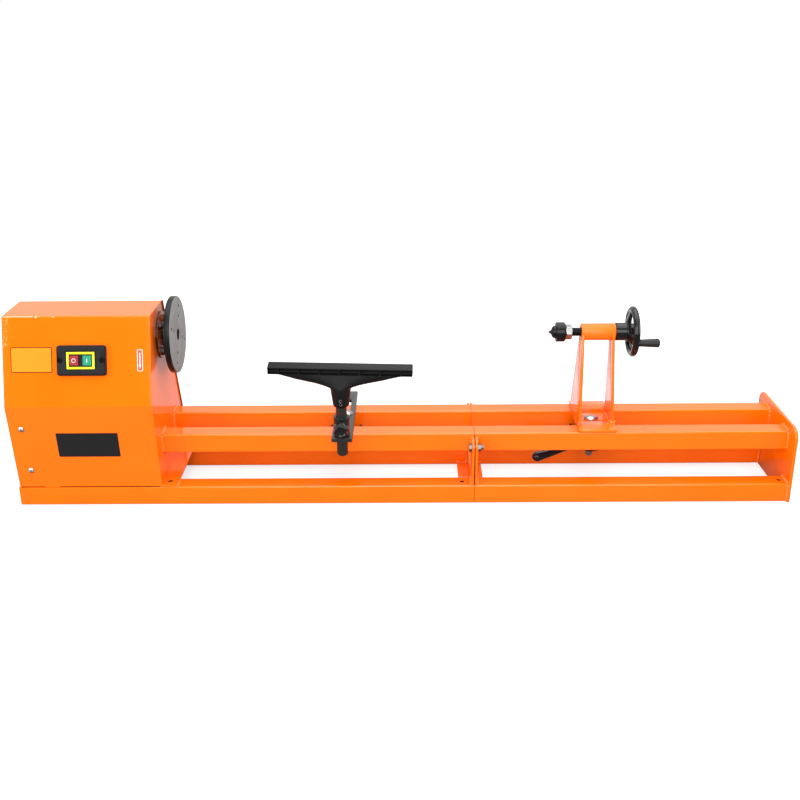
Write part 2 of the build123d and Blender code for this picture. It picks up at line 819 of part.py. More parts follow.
# Bar of the tool rest with its slot, post hole and socket
bar = block(rest_x - bar_width / 2, rest_x + bar_width / 2, bar_front, bar_rear, bar_bottom, bar_top)
slot = SlotOverall(slot_rear - slot_front, slot_width, rotation=90)
slot_place = Pos(rest_x, (slot_front + slot_rear) / 2, bar_bottom - bar_thick)
bar -= extrude(slot_place * slot, 3 * bar_thick, dir=(0, 0, 1))
post_bore = post_d / 2 + run_fit
bar -= rod_z(bar_bottom - bar_thick, bar_top + bar_thick, post_bore, rest_x, post_y)
parts["banjo_bar"] = bar
socket = rod_z(bar_top, socket_top, socket_d / 2, rest_x, post_y)
socket -= rod_z(bar_bottom, socket_top + bar_thick, post_bore, rest_x, post_y)
socket -= rod_y(post_y - socket_d, post_y, lock_screw_d / 2 + run_fit, rest_x, lock_z)
parts["post_socket"] = socket

# Lock knob of the post
screw_tip = post_y - post_d / 2 - part_gap
neck_rear = post_y - socket_d / 2 - part_gap
knob_rear = neck_rear - lock_neck
knob_front = knob_rear - lock_knob_depth
knob_plane = Plane((rest_x, knob_rear, lock_z), x_dir=(1, 0, 0), z_dir=(0, -1, 0))
lock_knob = knob_plane * extrude(star_outline(lock_knob_d, lock_lobes), lock_knob_depth)
lock_knob += rod_y(knob_rear, neck_rear, lock_neck_d / 2, rest_x, lock_z)
lock_knob += rod_y(neck_rear, screw_tip, lock_screw_d / 2, rest_x, lock_z)
parts["lock_knob"] = lock_knob

# Post
parts["rest_post"] = turned_z(
    [
        (0.0, post_bottom),
        (post_d / 2 - post_chamfer, post_bottom),
        (post_d / 2, post_bottom + post_chamfer),
        (post_d / 2, post_top),
        (0.0, post_top),
    ],
    rest_x,
    post_y,
)

# Head of the tool rest
rest_place = Pos(rest_x, post_y, 0) * Rot(0, 0, rest_turn)
band_bottom = rest_top - rest_band
pocket_top = band_bottom - rest_lip
pocket_bottom = rest_bottom + rest_lip
recess_y = rest_recess - rest_front
rest_section = [
    (rest_back, rest_top),
    (rest_back - rest_ridge, rest_top),
    (-rest_front, band_bottom),
    (-rest_front, pocket_top),
    (recess_y, pocket_top),
    (recess_y, pocket_bottom),
    (-rest_front, pocket_bottom),
    (-rest_front, rest_bottom),
    (rest_back, rest_bottom),
]
rest_head = prism_x(rest_section, -rest_length / 2, rest_length / 2)
rib_front = rest_rib_inset - rest_front
end_rib = (rest_length - rest_rib) / 2
rib_places = [-end_rib, end_rib]
for index in range(rest_rib_count):
    rib_places.append((index - (rest_rib_count - 1) / 2) * rest_rib_pitch)
for rib_x in rib_places:
    rib_left = rib_x - rest_rib / 2
    rest_head += block(rib_left, rib_left + rest_rib, rib_front, recess_y, pocket_bottom, pocket_top)
knee_z = rest_bottom - fan_drop
fan_depth = rest_front + rest_back
fan_top = Pos(0, rest_back - fan_depth / 2, rest_bottom) * Rectangle(fan_width, fan_depth)
fan_bottom = Pos(0, 0, knee_z) * Circle(hub_top_d / 2)
rest_head += loft([fan_bottom, fan_top])
hub_low = hub_bottom + hub_chamfer
rest_head += turned_z(
    [
        (0.0, hub_bottom),
        (hub_bottom_d / 2 - hub_chamfer, hub_bottom),
        (hub_bottom_d / 2, hub_low),
        (hub_top_d / 2, knee_z),
        (0.0, knee_z),
    ]
)
rest_head -= rod_z(hub_bottom - hub_chamfer, post_top + part_gap, post_bore)
hub_slope = (hub_top_d - hub_bottom_d) / 2 / (knee_z - hub_low)
screw_tip_y = -post_d / 2 - part_gap
set_screws = []
for index in range(2):
    screw_z = hub_bottom + set_screw_first + index * set_screw_pitch
    rest_head -= rod_y(-hub_top_d, 0.0, set_screw_d / 2, 0.0, screw_z)
    outer = set_screw_sink - hub_bottom_d / 2 - hub_slope * (screw_z - hub_low)
    set_screw = rod_y(outer, screw_tip_y, set_screw_d / 2 - seat_fit, 0.0, screw_z)
    set_screw -= rod_y(outer, outer + set_screw_socket, set_screw_socket_d / 2, 0.0, screw_z)
    set_screws.append(rest_place * set_screw)
parts["tool_rest"] = rest_place * rest_head
parts["rest_set_screws"] = Compound(set_screws)

# Guide in the slot, clamp bolt, clamp plate and clamp knob of the tool rest
guide_half = slot_width / 2 - slide_gap
guide_front = rest_bolt_y - guide_length / 2
guide_rear = rest_bolt_y + guide_length / 2
guide_left = rest_x - guide_half
guide_right = rest_x + guide_half
guide = block(guide_left, guide_right, guide_front, guide_rear, bar_bottom + slide_gap, bar_top - slide_gap)
guide -= rod_z(bar_bottom - bar_thick, bar_top + bar_thick, rest_bolt_d / 2 + run_fit, rest_x, rest_bolt_y)
parts["slot_guide"] = guide


def round_head_bolt(x, y, seat, bottom, shank_d, head_d, head_height, washer):
    """Round-head clamp bolt with a washer of the given thickness under its head."""
    bolt = domed(head_d / 2, seat + washer, seat + washer + head_height, head_side)
    if washer:
        bolt += rod_z(seat, seat + washer, head_d / 2 + washer_margin)
    bolt += rod_z(bottom, seat, shank_d / 2)
    return Pos(x, y, 0) * bolt


def clamp_plate(x, length, bolt_y, shank_d):
    """Plate under the rails with tabs that stand between them."""
    plate_left = x - length / 2
    plate_right = x + length / 2
    plate = block(plate_left, plate_right, -clamp_width / 2, clamp_width / 2, clamp_bottom, clamp_top)
    outer = rail_gap / 2 - tab_side
    for end in (-1, 1):
        tab_x = x + end * (length - tab_thick) / 2
        for side in (-1, 1):
            tab_y = side * (outer - tab_width / 2)
            tab_solid = Box(tab_thick, tab_width, rail_bottom + tab_rise - clamp_top)
            plate += Pos(tab_x, tab_y, (rail_bottom + tab_rise + clamp_top) / 2) * tab_solid
    hole_r = shank_d / 2 + slide_gap
    return plate - rod_z(clamp_bottom - clamp_thick, clamp_top + clamp_thick, hole_r, x, bolt_y)


knob_top = clamp_bottom - part_gap
knob_bottom = knob_top - clamp_knob_height
rest_bolt_end = knob_bottom + knob_cap
parts["rest_clamp_bolt"] = round_head_bolt(
    rest_x,
    rest_bolt_y,
    bar_top + slide_gap,
    rest_bolt_end,
    rest_bolt_d,
    rest_bolt_head_d,
    rest_bolt_head,
    washer_thick,
)
parts["rest_clamp_plate"] = clamp_plate(rest_x, rest_clamp_length, rest_bolt_y, rest_bolt_d)
knob_place = Pos(rest_x, rest_bolt_y, knob_bottom)
clamp_knob = knob_place * extrude(star_outline(clamp_knob_d, clamp_knob_lobes), clamp_knob_height)
knob_bore = rest_bolt_d / 2 + run_fit
clamp_knob -= rod_z(rest_bolt_end - part_gap, knob_top + clamp_thick, knob_bore, rest_x, rest_bolt_y)
parts["rest_clamp_knob"] = clamp_knob

# Tailstock base with its guide channel, two legs and barrel
channel_half = rail_gap / 2 - channel_side
tail_half = tail_width / 2
channel_floor = tail_bottom - channel_depth
hat_right = [
    (channel_half, channel_floor),
    (channel_half, tail_bottom),
    (tail_half, tail_bottom),
    (tail_half, tail_top),
    (channel_half - tail_thick, tail_top),
    (channel_half - tail_thick, channel_floor + tail_thick),
]
hat = hat_right + [(-y, z) for y, z in reversed(hat_right)]
tail_base = prism_x(hat, tail_left, tail_right)
bend_edges = tail_base.edges().filter_by(Axis.Y).group_by(Axis.X)[0]
tail_base = fillet([e for e in bend_edges if abs(e.center().Z - tail_bottom) < seat_fit], tail_bend)
tail_base -= rod_z(channel_floor - tail_thick, tail_top, tail_bolt_d / 2 + slide_gap, tail_x, 0.0)
parts["tailstock_base"] = tail_base
barrel_r = barrel_d / 2
screw_r = screw_d / 2
barrel_hole = rod_x(tail_left - tail_length, tail_right + tail_length, barrel_r + seat_fit, 0.0, spindle_z)
trough_half = channel_half - tail_thick
trough_floor = channel_floor + tail_thick
for name, foot_left, lean, foot_width in (
    ("left_leg", tail_left, left_leg_lean, left_leg_foot),
    ("right_leg", tail_right - leg_thick, right_leg_lean, right_leg_foot),
):
    foot_right = foot_left + leg_thick
    lean_points = [
        (foot_left, tail_top),
        (foot_right, tail_top),
        (foot_right + lean, spindle_z),
        (foot_left + lean, spindle_z),
    ]
    taper_points = [
        (-foot_width / 2, tail_top),
        (foot_width / 2, tail_top),
        (barrel_r, spindle_z),
        (-barrel_r, spindle_z),
    ]
    leg = prism_y(lean_points, -foot_width / 2, foot_width / 2)
    leg &= prism_x(taper_points, tail_left - tail_length, tail_right + tail_length)
    leg += block(foot_left, foot_right, -trough_half, trough_half, trough_floor, tail_top)
    parts[name] = leg - barrel_hole
barrel = rod_x(barrel_left, barrel_right, barrel_r, 0.0, spindle_z)
barrel -= rod_x(tail_left - tail_length, tail_right + tail_length, screw_r + run_fit, 0.0, spindle_z)
parts["tailstock_barrel"] = barrel

# Clamp bolt, clamp plate and clamp lever of the tailstock
lever_top = clamp_bottom - part_gap
lever_bottom = lever_top - lever_hub
cap_bottom = lever_bottom - cap_nut_height - cap_nut_dome
tail_bolt_end = cap_bottom + cap_nut_wall + part_gap
parts["tail_clamp_bolt"] = round_head_bolt(
    tail_x,
    0.0,
    trough_floor,
    tail_bolt_end,
    tail_bolt_d,
    tail_bolt_head_d,
    tail_bolt_head,
    0.0,
)
parts["tail_clamp_plate"] = clamp_plate(tail_x, tail_clamp_length, 0.0, tail_bolt_d)
lever_place = Pos(tail_x, 0, 0) * Rot(0, 0, lever_angle)
strap_top = lever_bottom + lever_strap_thick
strap_half = lever_strap_width / 2
rod_place = Pos(0, 0, lever_bottom + lever_root) * Rot(0, lever_tilt, 0)
bolt_bore = rod_z(tail_bolt_end - part_gap, lever_top + lever_hub, tail_bolt_d / 2 + run_fit)
ball_r = grip_ball_d / 2
grip_end = grip_start + grip_length
rod_end = grip_start + grip_length / 2
lever = rod_z(lever_bottom, lever_top, lever_hub_d / 2)
lever += block(-lever_strap_tail, 0.0, -strap_half, strap_half, lever_bottom, strap_top)
lever += rod_z(lever_bottom, strap_top, strap_half, -lever_strap_tail)
lever += rod_place * rod_x(0.0, rod_end, lever_rod_d / 2)
parts["tail_clamp_lever"] = lever_place * (lever - bolt_bore)
hexagon = Pos(0, 0, lever_bottom) * RegularPolygon(cap_nut_across / 2, 6, major_radius=False)
cap_nut = extrude(hexagon, -cap_nut_height)
cap_dome = domed(cap_nut_across / 2, 0.0, cap_nut_dome)
cap_nut += Pos(0, 0, lever_bottom - cap_nut_height) * Rot(180, 0, 0) * cap_dome
parts["lever_cap_nut"] = lever_place * (cap_nut - bolt_bore)
grip = turned_x(
    [
        (grip_start, 0.0),
        (grip_start, grip_thin_d / 2),
        (grip_end, ball_r),
        (grip_end, 0.0),
    ]
)
grip += Pos(grip_end, 0, 0) * Sphere(ball_r)
grip -= rod_x(0.0, rod_end + seat_fit, lever_rod_d / 2 + seat_fit)
parts["lever_grip"] = lever_place * rod_place * grip

# Feed screw with its nut
nose_r = screw_nose_d / 2
bearing_left = centre_left + centre_floor + part_gap
bearing_right = bearing_left + centre_bearing_width
screw_right = wheel_x + wheel_rim_d / 2 + screw_tail
parts["feed_screw"] = turned_x(
    [
        (bearing_left, 0.0),
        (bearing_left, nose_r),
        (bearing_right + part_gap, nose_r),
        (bearing_right + part_gap, screw_r),
        (screw_right, screw_r),
        (screw_right, 0.0),
    ],
    z=spindle_z,
)
lock_nut = hex_x(nut_left, nut_right, lock_nut_across, 0.0, spindle_z)
parts["lock_nut"] = lock_nut - rod_x(nut_left - tube, nut_right + tube, screw_r + seat_fit, 0.0, spindle_z)

# Live centre and its bearing
centre_bore = centre_bearing_d / 2 + run_fit
parts["centre_bearing"] = bearing_ring(
    bearing_left, centre_bearing_width, nose_r + run_fit, centre_bearing_d / 2, spindle_z
)
dome_left = centre_left - dome_length
tip_x = dome_left - tip_length
dome_start = (centre_left, dome_root_d / 2)
dome_stop = (dome_left, dome_d / 2)
dome_middle = (centre_left - dome_length / 2 - dome_bulge, (dome_root_d + dome_d) / 4 + dome_bulge)
centre_outline = Polyline(
    dome_stop,
    (tip_x, 0.0),
    (centre_left + centre_floor, 0.0),
    (centre_left + centre_floor, centre_bore),
    (centre_right, centre_bore),
    (centre_right, centre_d / 2 - centre_bevel),
    (centre_right - centre_bevel, centre_d / 2),
    (centre_left + round_edge, centre_d / 2),
    (centre_left, centre_d / 2 - round_edge),
    dome_start,
)
centre_outline += ThreePointArc(dome_start, dome_middle, dome_stop)
parts["live_centre"] = Pos(0, 0, spindle_z) * revolve(make_face(centre_outline.edges()), Axis.X)

# Handwheel with its collar, spokes and rim
rim_r = wheel_rim_d / 2
rim_radius = wheel_d / 2 - rim_r
collar_right = wheel_left + collar_length
hub_r = wheel_hub_d / 2
wheel_hub_right = wheel_x + rim_r
wheel_bore = screw_r + seat_fit
wheel = turned_x(
    [
        (wheel_left, wheel_bore),
        (wheel_left, collar_d / 2 - round_edge),
        (wheel_left + round_edge, collar_d / 2),
        (collar_right, collar_d / 2),
        (wheel_hub_right, hub_r),
        (wheel_hub_right, wheel_bore),
    ]
)
web_root = collar_right - wheel_web / 2
spoke_web = turned_x(
    [
        (web_root, hub_r),
        (wheel_x - wheel_web / 2, rim_radius),
        (wheel_x + wheel_web / 2, rim_radius),
        (web_root + wheel_web, hub_r),
    ]
)
window_in = collar_d / 2 + wheel_window_margin
window_out = rim_radius - rim_r / 2
windows = Circle(window_out) - Circle(window_in)
for index in range(wheel_spokes):
    spoke_turn = crank_angle + 360 / wheel_spokes * index
    windows -= Rot(0, 0, spoke_turn) * Pos(window_out / 2, 0) * Rectangle(window_out, wheel_spoke)
window_plane = Plane((wheel_left, 0, 0), x_dir=(0, 1, 0), z_dir=(1, 0, 0))
spoke_web -= extrude(window_plane * windows, 2 * wheel_plane, dir=(1, 0, 0))
wheel += spoke_web
wheel += Pos(wheel_x, 0, 0) * Rot(0, 90, 0) * Torus(rim_radius, rim_r)
crank_y = crank_radius * cos(radians(crank_angle))
crank_z = crank_radius * sin(radians(crank_angle))
boss_right = wheel_x + crank_boss
wheel += rod_x(wheel_x, boss_right, crank_boss_d / 2, crank_y, crank_z)
pin_left = wheel_x - crank_pin_root
wheel -= rod_x(pin_left, boss_right + tube, crank_pin_d / 2 + seat_fit, crank_y, crank_z)
parts["handwheel"] = Pos(0, 0, spindle_z) * wheel

# Crank handle on its pin
handle_left = boss_right + part_gap
handle_right = handle_left + handle_length
pin_right = handle_right - handle_end - part_gap
parts["crank_pin"] = rod_x(pin_left, pin_right, crank_pin_d / 2, crank_y, spindle_z + crank_z)
pin_bore = crank_pin_d / 2 + run_fit
handle_shoulder = handle_right - handle_end
handle = turned_x(
    [
        (handle_left, pin_bore),
        (handle_left, handle_root_d / 2),
        (handle_shoulder, handle_d / 2),
        (handle_shoulder, pin_bore),
    ]
)
handle += Pos(handle_shoulder, 0, 0) * Rot(0, 90, 0) * domed(handle_d / 2, 0.0, handle_end)
parts["crank_handle"] = Pos(0, crank_y, spindle_z + crank_z) * handle

for node, shape in parts.items():
    export_step(shape, f"parts/{node}.step")
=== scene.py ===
"""Dresses a benchtop wood lathe: paint, welds, castings, controls, labels, stage and camera."""

import json
from math import atan2, cos, pi, radians, sin

import bmesh
import bpy
from bpy.props import FloatProperty, FloatVectorProperty, IntProperty, PointerProperty
from mathutils import Matrix, Vector

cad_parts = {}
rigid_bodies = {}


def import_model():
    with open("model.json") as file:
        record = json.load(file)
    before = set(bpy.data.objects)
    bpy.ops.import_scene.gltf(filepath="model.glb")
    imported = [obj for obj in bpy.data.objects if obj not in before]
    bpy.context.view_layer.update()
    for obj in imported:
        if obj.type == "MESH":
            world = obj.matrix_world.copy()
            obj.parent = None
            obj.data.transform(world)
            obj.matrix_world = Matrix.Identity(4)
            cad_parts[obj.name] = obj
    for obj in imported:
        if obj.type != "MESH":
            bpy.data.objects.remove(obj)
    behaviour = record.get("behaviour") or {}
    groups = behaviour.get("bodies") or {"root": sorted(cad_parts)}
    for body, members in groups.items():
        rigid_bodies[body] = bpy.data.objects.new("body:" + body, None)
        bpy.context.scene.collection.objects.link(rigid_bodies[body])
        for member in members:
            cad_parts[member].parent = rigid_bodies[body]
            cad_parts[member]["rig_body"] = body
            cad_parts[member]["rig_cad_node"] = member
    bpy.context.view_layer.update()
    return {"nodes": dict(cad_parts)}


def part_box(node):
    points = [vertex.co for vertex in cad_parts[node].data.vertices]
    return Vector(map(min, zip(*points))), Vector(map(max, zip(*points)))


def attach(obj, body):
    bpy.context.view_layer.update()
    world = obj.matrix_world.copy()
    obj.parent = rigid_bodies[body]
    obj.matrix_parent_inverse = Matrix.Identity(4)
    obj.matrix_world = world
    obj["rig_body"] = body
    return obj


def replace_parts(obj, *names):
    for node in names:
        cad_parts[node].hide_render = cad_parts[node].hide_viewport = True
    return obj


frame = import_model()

bl_info = {
    "name": "Bench Lathe Dressing",
    "version": (1, 0, 0),
    "blender": (4, 5, 0),
    "location": "3D View > Sidebar > Lathe",
    "description": "Finishes, welds, controls and labels of a benchtop wood lathe",
    "category": "Object",
}

# Spindle axis, left end of the cover, tubes on the rear side of the bed, outer face of the wall
SPINDLE_LOW, SPINDLE_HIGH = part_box("spindle")
AXIS_Z = (SPINDLE_LOW.z + SPINDLE_HIGH.z) / 2
COVER_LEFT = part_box("headstock_cover")[0].x
RAIL_LOW, RAIL_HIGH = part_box("right_rear_rail")
BEAM_LOW, BEAM_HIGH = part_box("right_rear_beam")
WALL_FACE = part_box("left_front_rail")[0].x

# Outer face and foot of the joint plates, foot of the wall, sheet of the tailstock, channel in its base
JOINT_FACE = 0.005
FOOT_TOP = 0.005
FOOT_WIDTH = 0.026
SHEET = 0.0045
CHANNEL_HALF = 0.0287
CHANNEL_DEPTH = 0.006

# Points (Y, Z) of the wall's rear edge, top to foot
WALL_REAR = ((0.029, 0.344), (0.107, 0.110), (0.098, 0.038))

# Points (Y, Z) of the headstock's front, and the two panels between them
PANEL_FOOT = (-0.098, 0.037)
PANEL_FOLD = (-0.113, 0.196)
PANEL_TOP = (-0.065, 0.344)
LOWER_PANEL = (PANEL_FOOT, PANEL_FOLD)
UPPER_PANEL = (PANEL_FOLD, PANEL_TOP)

# Cosine from which a face counts as facing along a direction
FACES_ALONG = 0.9

# Ripple of the powder coat, lightening of the edges of coats and mouldings for wear and sheen, and the
# painted shade inside hollow parts
COAT_RIPPLE = {"Scale": 420.0, "Depth": 0.000006}
PAINT_EDGE_WEAR_AND_SHEEN = 0.35
MOULD_EDGE_WEAR_AND_SHEEN = 0.5
HOLLOW_SHADE = (0.006, 0.002, 0.001)


def colour_setting(name, description, default):
    """Colour that a user can change."""
    return FloatVectorProperty(name=name, description=description, default=default, subtype="COLOR")


def length_setting(name, description, default):
    """Length that a user can change."""
    return FloatProperty(name=name, description=description, default=default, unit="LENGTH")


class LatheColours(bpy.types.PropertyGroup):
    """Colours of the lathe's finishes."""

    paint: colour_setting("Paint", "Powder coat of the bed and headstock", (0.98, 0.150, 0.001))
    black_gloss: colour_setting("Gloss black", "Handwheel and grips", (0.006, 0.006, 0.007))
    casting: colour_setting("Casting", "Tool rest casting", (0.0055, 0.0055, 0.006))
    bar_steel: colour_setting("Bar steel", "Ground top of the rest bar", (0.065, 0.064, 0.063))
    zinc: colour_setting("Zinc", "Plated bolts and nuts", (0.40, 0.395, 0.38))
    face_grey: colour_setting("Faceplate face", "Turned face of the faceplate", (0.24, 0.237, 0.23))
    bezel: colour_setting("Bezel", "Switch bezel", (0.93, 0.85, 0.01))
    stop: colour_setting("Stop button", "Button that stops the motor", (0.30, 0.022, 0.028))
    start: colour_setting("Start button", "Button that starts the motor", (0.010, 0.27, 0.15))
    label_amber: colour_setting("Amber label", "Blank label on the front", (0.92, 0.25, 0.010))
    arrow_red: colour_setting("Arrow label", "Label of the turning direction", (0.85, 0.075, 0.035))


class LatheSizes(bpy.types.PropertyGroup):
    """Sizes that the dressing adds to the solids."""

    weld_width: length_setting("Weld", "Width of a weld bead", 0.0062)
    weld_seed: IntProperty(name="Weld seed", description="Pattern of the uneven beads", default=4)
    label_thick: length_setting("Label", "Thickness of a label", 0.0004)
    mark_thick: length_setting("Mark", "Height of a mark on a button", 0.0003)
    thread_pitch: length_setting("Thread", "Pitch of the feed screw", 0.0020)
    thread_depth: length_setting("Thread depth", "Depth of the thread", 0.0011)
    bolt_pitch: length_setting("Bolt thread", "Pitch of the bolts", 0.00125)
    bolt_crest: length_setting("Bolt crest", "Radius over the bolt thread", 0.0043)
    bolt_root: length_setting("Bolt root", "Radius under the bolt thread", 0.0039)
    floor_size: length_setting("Floor", "Side of the floor", 14.0)


def feed(tree, value, socket):
    """Links a socket to an input, or sets the input to a plain value."""
    if hasattr(value, "is_linked"):
        tree.links.new(value, socket)
    else:
        socket.default_value = value


def give(tree, node, **values):
    """Feeds a node's inputs by name, with underscores for the spaces."""
    for label, value in values.items():
        feed(tree, value, node.inputs[label.replace("_", " ")])


def math_node(tree, operation, *values, clamp=False):
    """Math node; gives its output."""
    node = tree.nodes.new("ShaderNodeMath")
    node.operation = operation
    node.use_clamp = clamp
    for value, socket in zip(values, node.inputs):
        feed(tree, value, socket)
    return node.outputs[0]


def vector_node(tree, operation, *values):
    """Vector math node; gives its vector, or its number where the operation has one."""
    node = tree.nodes.new("ShaderNodeVectorMath")
    node.operation = operation
    for value, socket in zip(values, node.inputs):
        feed(tree, value, socket)
    return node.outputs["Value" if operation in {"DOT_PRODUCT", "LENGTH"} else "Vector"]


def object_place(tree):
    """Place on the piece in the lathe's own frame."""
    return tree.nodes.new("ShaderNodeTexCoord").outputs["Object"]


def split_axes(tree, vector):
    """The X, Y and Z sockets of a vector."""
    node = tree.nodes.new("ShaderNodeSeparateXYZ")
    feed(tree, vector, node.inputs[0])
    return node.outputs


def noise_node(tree, vector, scale, detail=3.0, roughness=0.5):
    """Noise on the given coordinates; gives its value."""
    node = tree.nodes.new("ShaderNodeTexNoise")
    give(tree, node, Vector=vector, Scale=scale, Detail=detail, Roughness=roughness)
    return node.outputs[0]


def range_node(tree, value, low, high, to_low=0.0, to_high=1.0):
    """Maps a value from one range to another and clamps it."""
    node = tree.nodes.new("ShaderNodeMapRange")
    for number, socket in zip((value, low, high, to_low, to_high), node.inputs):
        feed(tree, number, socket)
    return node.outputs[0]


def blend(tree, mask, off, on):
    """Number that goes from its off to its on value with a mask."""
    return range_node(tree, mask, low=0.0, high=1.0, to_low=off, to_high=on)


def spread(tree, noise, low=0.0, high=1.0):
    """Stretches the middle of a noise over a range."""
    return range_node(tree, noise, low=0.3, high=0.7, to_low=low, to_high=high)


def colour_mix(tree, factor, first, second):
    """Mixes two colours, each a socket or a plain colour."""
    node = tree.nodes.new("ShaderNodeMix")
    node.data_type = "RGBA"
    feed(tree, factor, node.inputs[0])
    for value, socket in zip((first, second), node.inputs[6:8]):
        feed(tree, value if hasattr(value, "is_linked") else (*value[:3], 1.0), socket)
    return node.outputs[2]


def new_group(name, inputs, outputs):
    """Empty shader node group; gives it, the sockets of its named inputs, and its output node."""
    group = bpy.data.node_groups.new(name, "ShaderNodeTree")
    for label, default in inputs.items():
        kind = "NodeSocketFloat" if isinstance(default, float) else "NodeSocketVector"
        group.interface.new_socket(label, in_out="INPUT", socket_type=kind).default_value = default
    for label in outputs:
        kind = "NodeSocketVector" if label == "Normal" else "NodeSocketFloat"
        group.interface.new_socket(label, in_out="OUTPUT", socket_type=kind)
    return group, group.nodes.new("NodeGroupInput").outputs, group.nodes.new("NodeGroupOutput")


def edge_group():
    """Rounded-edge normal and a mask of the edges that are lightened for wear and sheen."""
    group, given, sink = new_group("Soft edges", {"Radius": 0.001}, ("Normal", "Edge"))
    bevel = group.nodes.new("ShaderNodeBevel")
    bevel.samples = 6
    give(group, bevel, Radius=given["Radius"])
    flat = group.nodes.new("ShaderNodeNewGeometry").outputs["Normal"]
    bend = vector_node(group, "DOT_PRODUCT", bevel.outputs[0], flat)
    give(group, sink, Normal=bevel.outputs[0], Edge=range_node(group, bend, low=0.99, high=0.80))
    return group


def peel_group():
    """Orange-peel waviness of a sprayed coat, with a slow waviness of the sheet under it."""
    group, given, sink = new_group("Coat ripple", {"Scale": 300.0, "Depth": 0.00004}, ("Height", "Mottle"))
    place = object_place(group)
    fine = noise_node(group, place, given["Scale"], detail=2.0)
    slow = noise_node(group, place, scale=9.0, detail=2.0)
    both = math_node(group, "ADD", fine, math_node(group, "MULTIPLY", slow, 2.5))
    height = math_node(group, "MULTIPLY", both, given["Depth"])
    give(group, sink, Height=height, Mottle=slow)
    return group


def grain_group():
    """Sandy grain of a casting or a moulded plastic."""
    group, given, sink = new_group("Cast grain", {"Scale": 700.0, "Depth": 0.0001}, ("Height", "Speckle"))
    noise = noise_node(group, object_place(group), given["Scale"], detail=4.0, roughness=0.65)
    height = math_node(group, "MULTIPLY", noise, given["Depth"])
    give(group, sink, Height=height, Speckle=range_node(group, noise, low=0.35, high=0.65))
    return group


def brush_group():
    """Fine streaks of drawn or ground metal along one axis."""
    values = {"Stretch": (40.0, 40.0, 1500.0), "Depth": 0.00002}
    group, given, sink = new_group("Drawn streaks", values, ("Height", "Streak"))
    scaled = vector_node(group, "MULTIPLY", object_place(group), given["Stretch"])
    noise = noise_node(group, scaled, scale=1.0, roughness=0.6)
    height = math_node(group, "MULTIPLY", noise, given["Depth"])
    give(group, sink, Height=height, Streak=noise)
    return group


def ring_group():
    """Turning marks: rings about an axis along X through a centre."""
    values = {"Centre": (0.0, 0.0, 0.0), "Pitch": 0.001, "Depth": 0.00003}
    group, given, sink = new_group("Turning marks", values, ("Height", "Ring"))
    place = object_place(group)
    offset = vector_node(group, "SUBTRACT", place, given["Centre"])
    radius = vector_node(group, "LENGTH", vector_node(group, "MULTIPLY", offset, (0.0, 1.0, 1.0)))
    turns = math_node(group, "DIVIDE", radius, given["Pitch"])
    ripple = math_node(group, "SINE", math_node(group, "MULTIPLY", turns, 2 * pi))
    wobble = noise_node(group, place, scale=60.0, detail=2.0)
    ring = math_node(group, "MULTIPLY", ripple, wobble)
    height = math_node(group, "MULTIPLY", ring, given["Depth"])
    give(group, sink, Height=height, Ring=range_node(group, ring, low=-0.6, high=0.6))
    return group


def place_mask_group():
    """Mask of what lies between two corners; the corners hold for the front and the rear side alike."""
    values = {"Low": (0.0, 0.0, 0.0), "High": (0.0, 0.0, 0.0), "Blend": 0.0004}
    group, given, sink = new_group("Place mask", values, ("Mask",))
    here = split_axes(group, object_place(group))
    either_side = group.nodes.new("ShaderNodeCombineXYZ")
    give(group, either_side, X=here["X"], Y=math_node(group, "ABSOLUTE", here["Y"]), Z=here["Z"])
    past_low = vector_node(group, "SUBTRACT", either_side.outputs[0], given["Low"])
    short_of_high = vector_node(group, "SUBTRACT", given["High"], either_side.outputs[0])
    axes = split_axes(group, vector_node(group, "MINIMUM", past_low, short_of_high))
    depth = math_node(group, "MINIMUM", axes["X"], axes["Y"])
    depth = math_node(group, "MINIMUM", depth, axes["Z"])
    give(group, sink, Mask=math_node(group, "DIVIDE", depth, given["Blend"], clamp=True))
    return group


GROUP_MAKERS = {
    "edges": edge_group,
    "peel": peel_group,
    "grain": grain_group,
    "brush": brush_group,
    "rings": ring_group,
    "place": place_mask_group,
}
groups = {}


def place_group(tree, key, **values):
    """Puts one of the shared effects into a material with its own values; gives its outputs."""
    if key not in groups:
        groups[key] = GROUP_MAKERS[key]()
    node = tree.nodes.new("ShaderNodeGroup")
    node.node_tree = groups[key]
    give(tree, node, **values)
    return node.outputs


def new_material(name, metallic=0.0, specular=0.5):
    """Material with a Principled shader; gives the material, its tree and the shader."""
    material = bpy.data.materials.new(name)
    material.use_nodes = True
    tree = material.node_tree
    shader = tree.nodes["Principled BSDF"]
    give(tree, shader, Metallic=metallic, Specular_IOR_Level=specular)
    return material, tree, shader


def add_bump(tree, shader, height, **normal):
    """Feeds a height, over a base normal if one is given, into the shader."""
    bump = tree.nodes.new("ShaderNodeBump")
    give(tree, bump, Strength=1.0, Distance=1.0, Height=height, **normal)
    give(tree, shader, Normal=bump.outputs[0])


def new_surface(name, effect, radius, metallic=0.0, specular=0.5, **values):
    """Material with a shared effect's relief and soft edges; gives its parts, the effect and the edges."""
    material, tree, shader = new_material(name, metallic, specular)
    relief = place_group(tree, effect, **values)
    edges = place_group(tree, "edges", Radius=radius)
    add_bump(tree, shader, relief["Height"], Normal=edges["Normal"])
    return material, tree, shader, relief, edges["Edge"]


def shade(colour, factor):
    """A lighter or darker shade of a colour."""
    return tuple(min(1.0, channel * factor) for channel in colour)


def shades(tree, factor, colour, dark, light):
    """Mixes a dark and a light shade of a colour."""
    return colour_mix(tree, factor, shade(colour, dark), shade(colour, light))


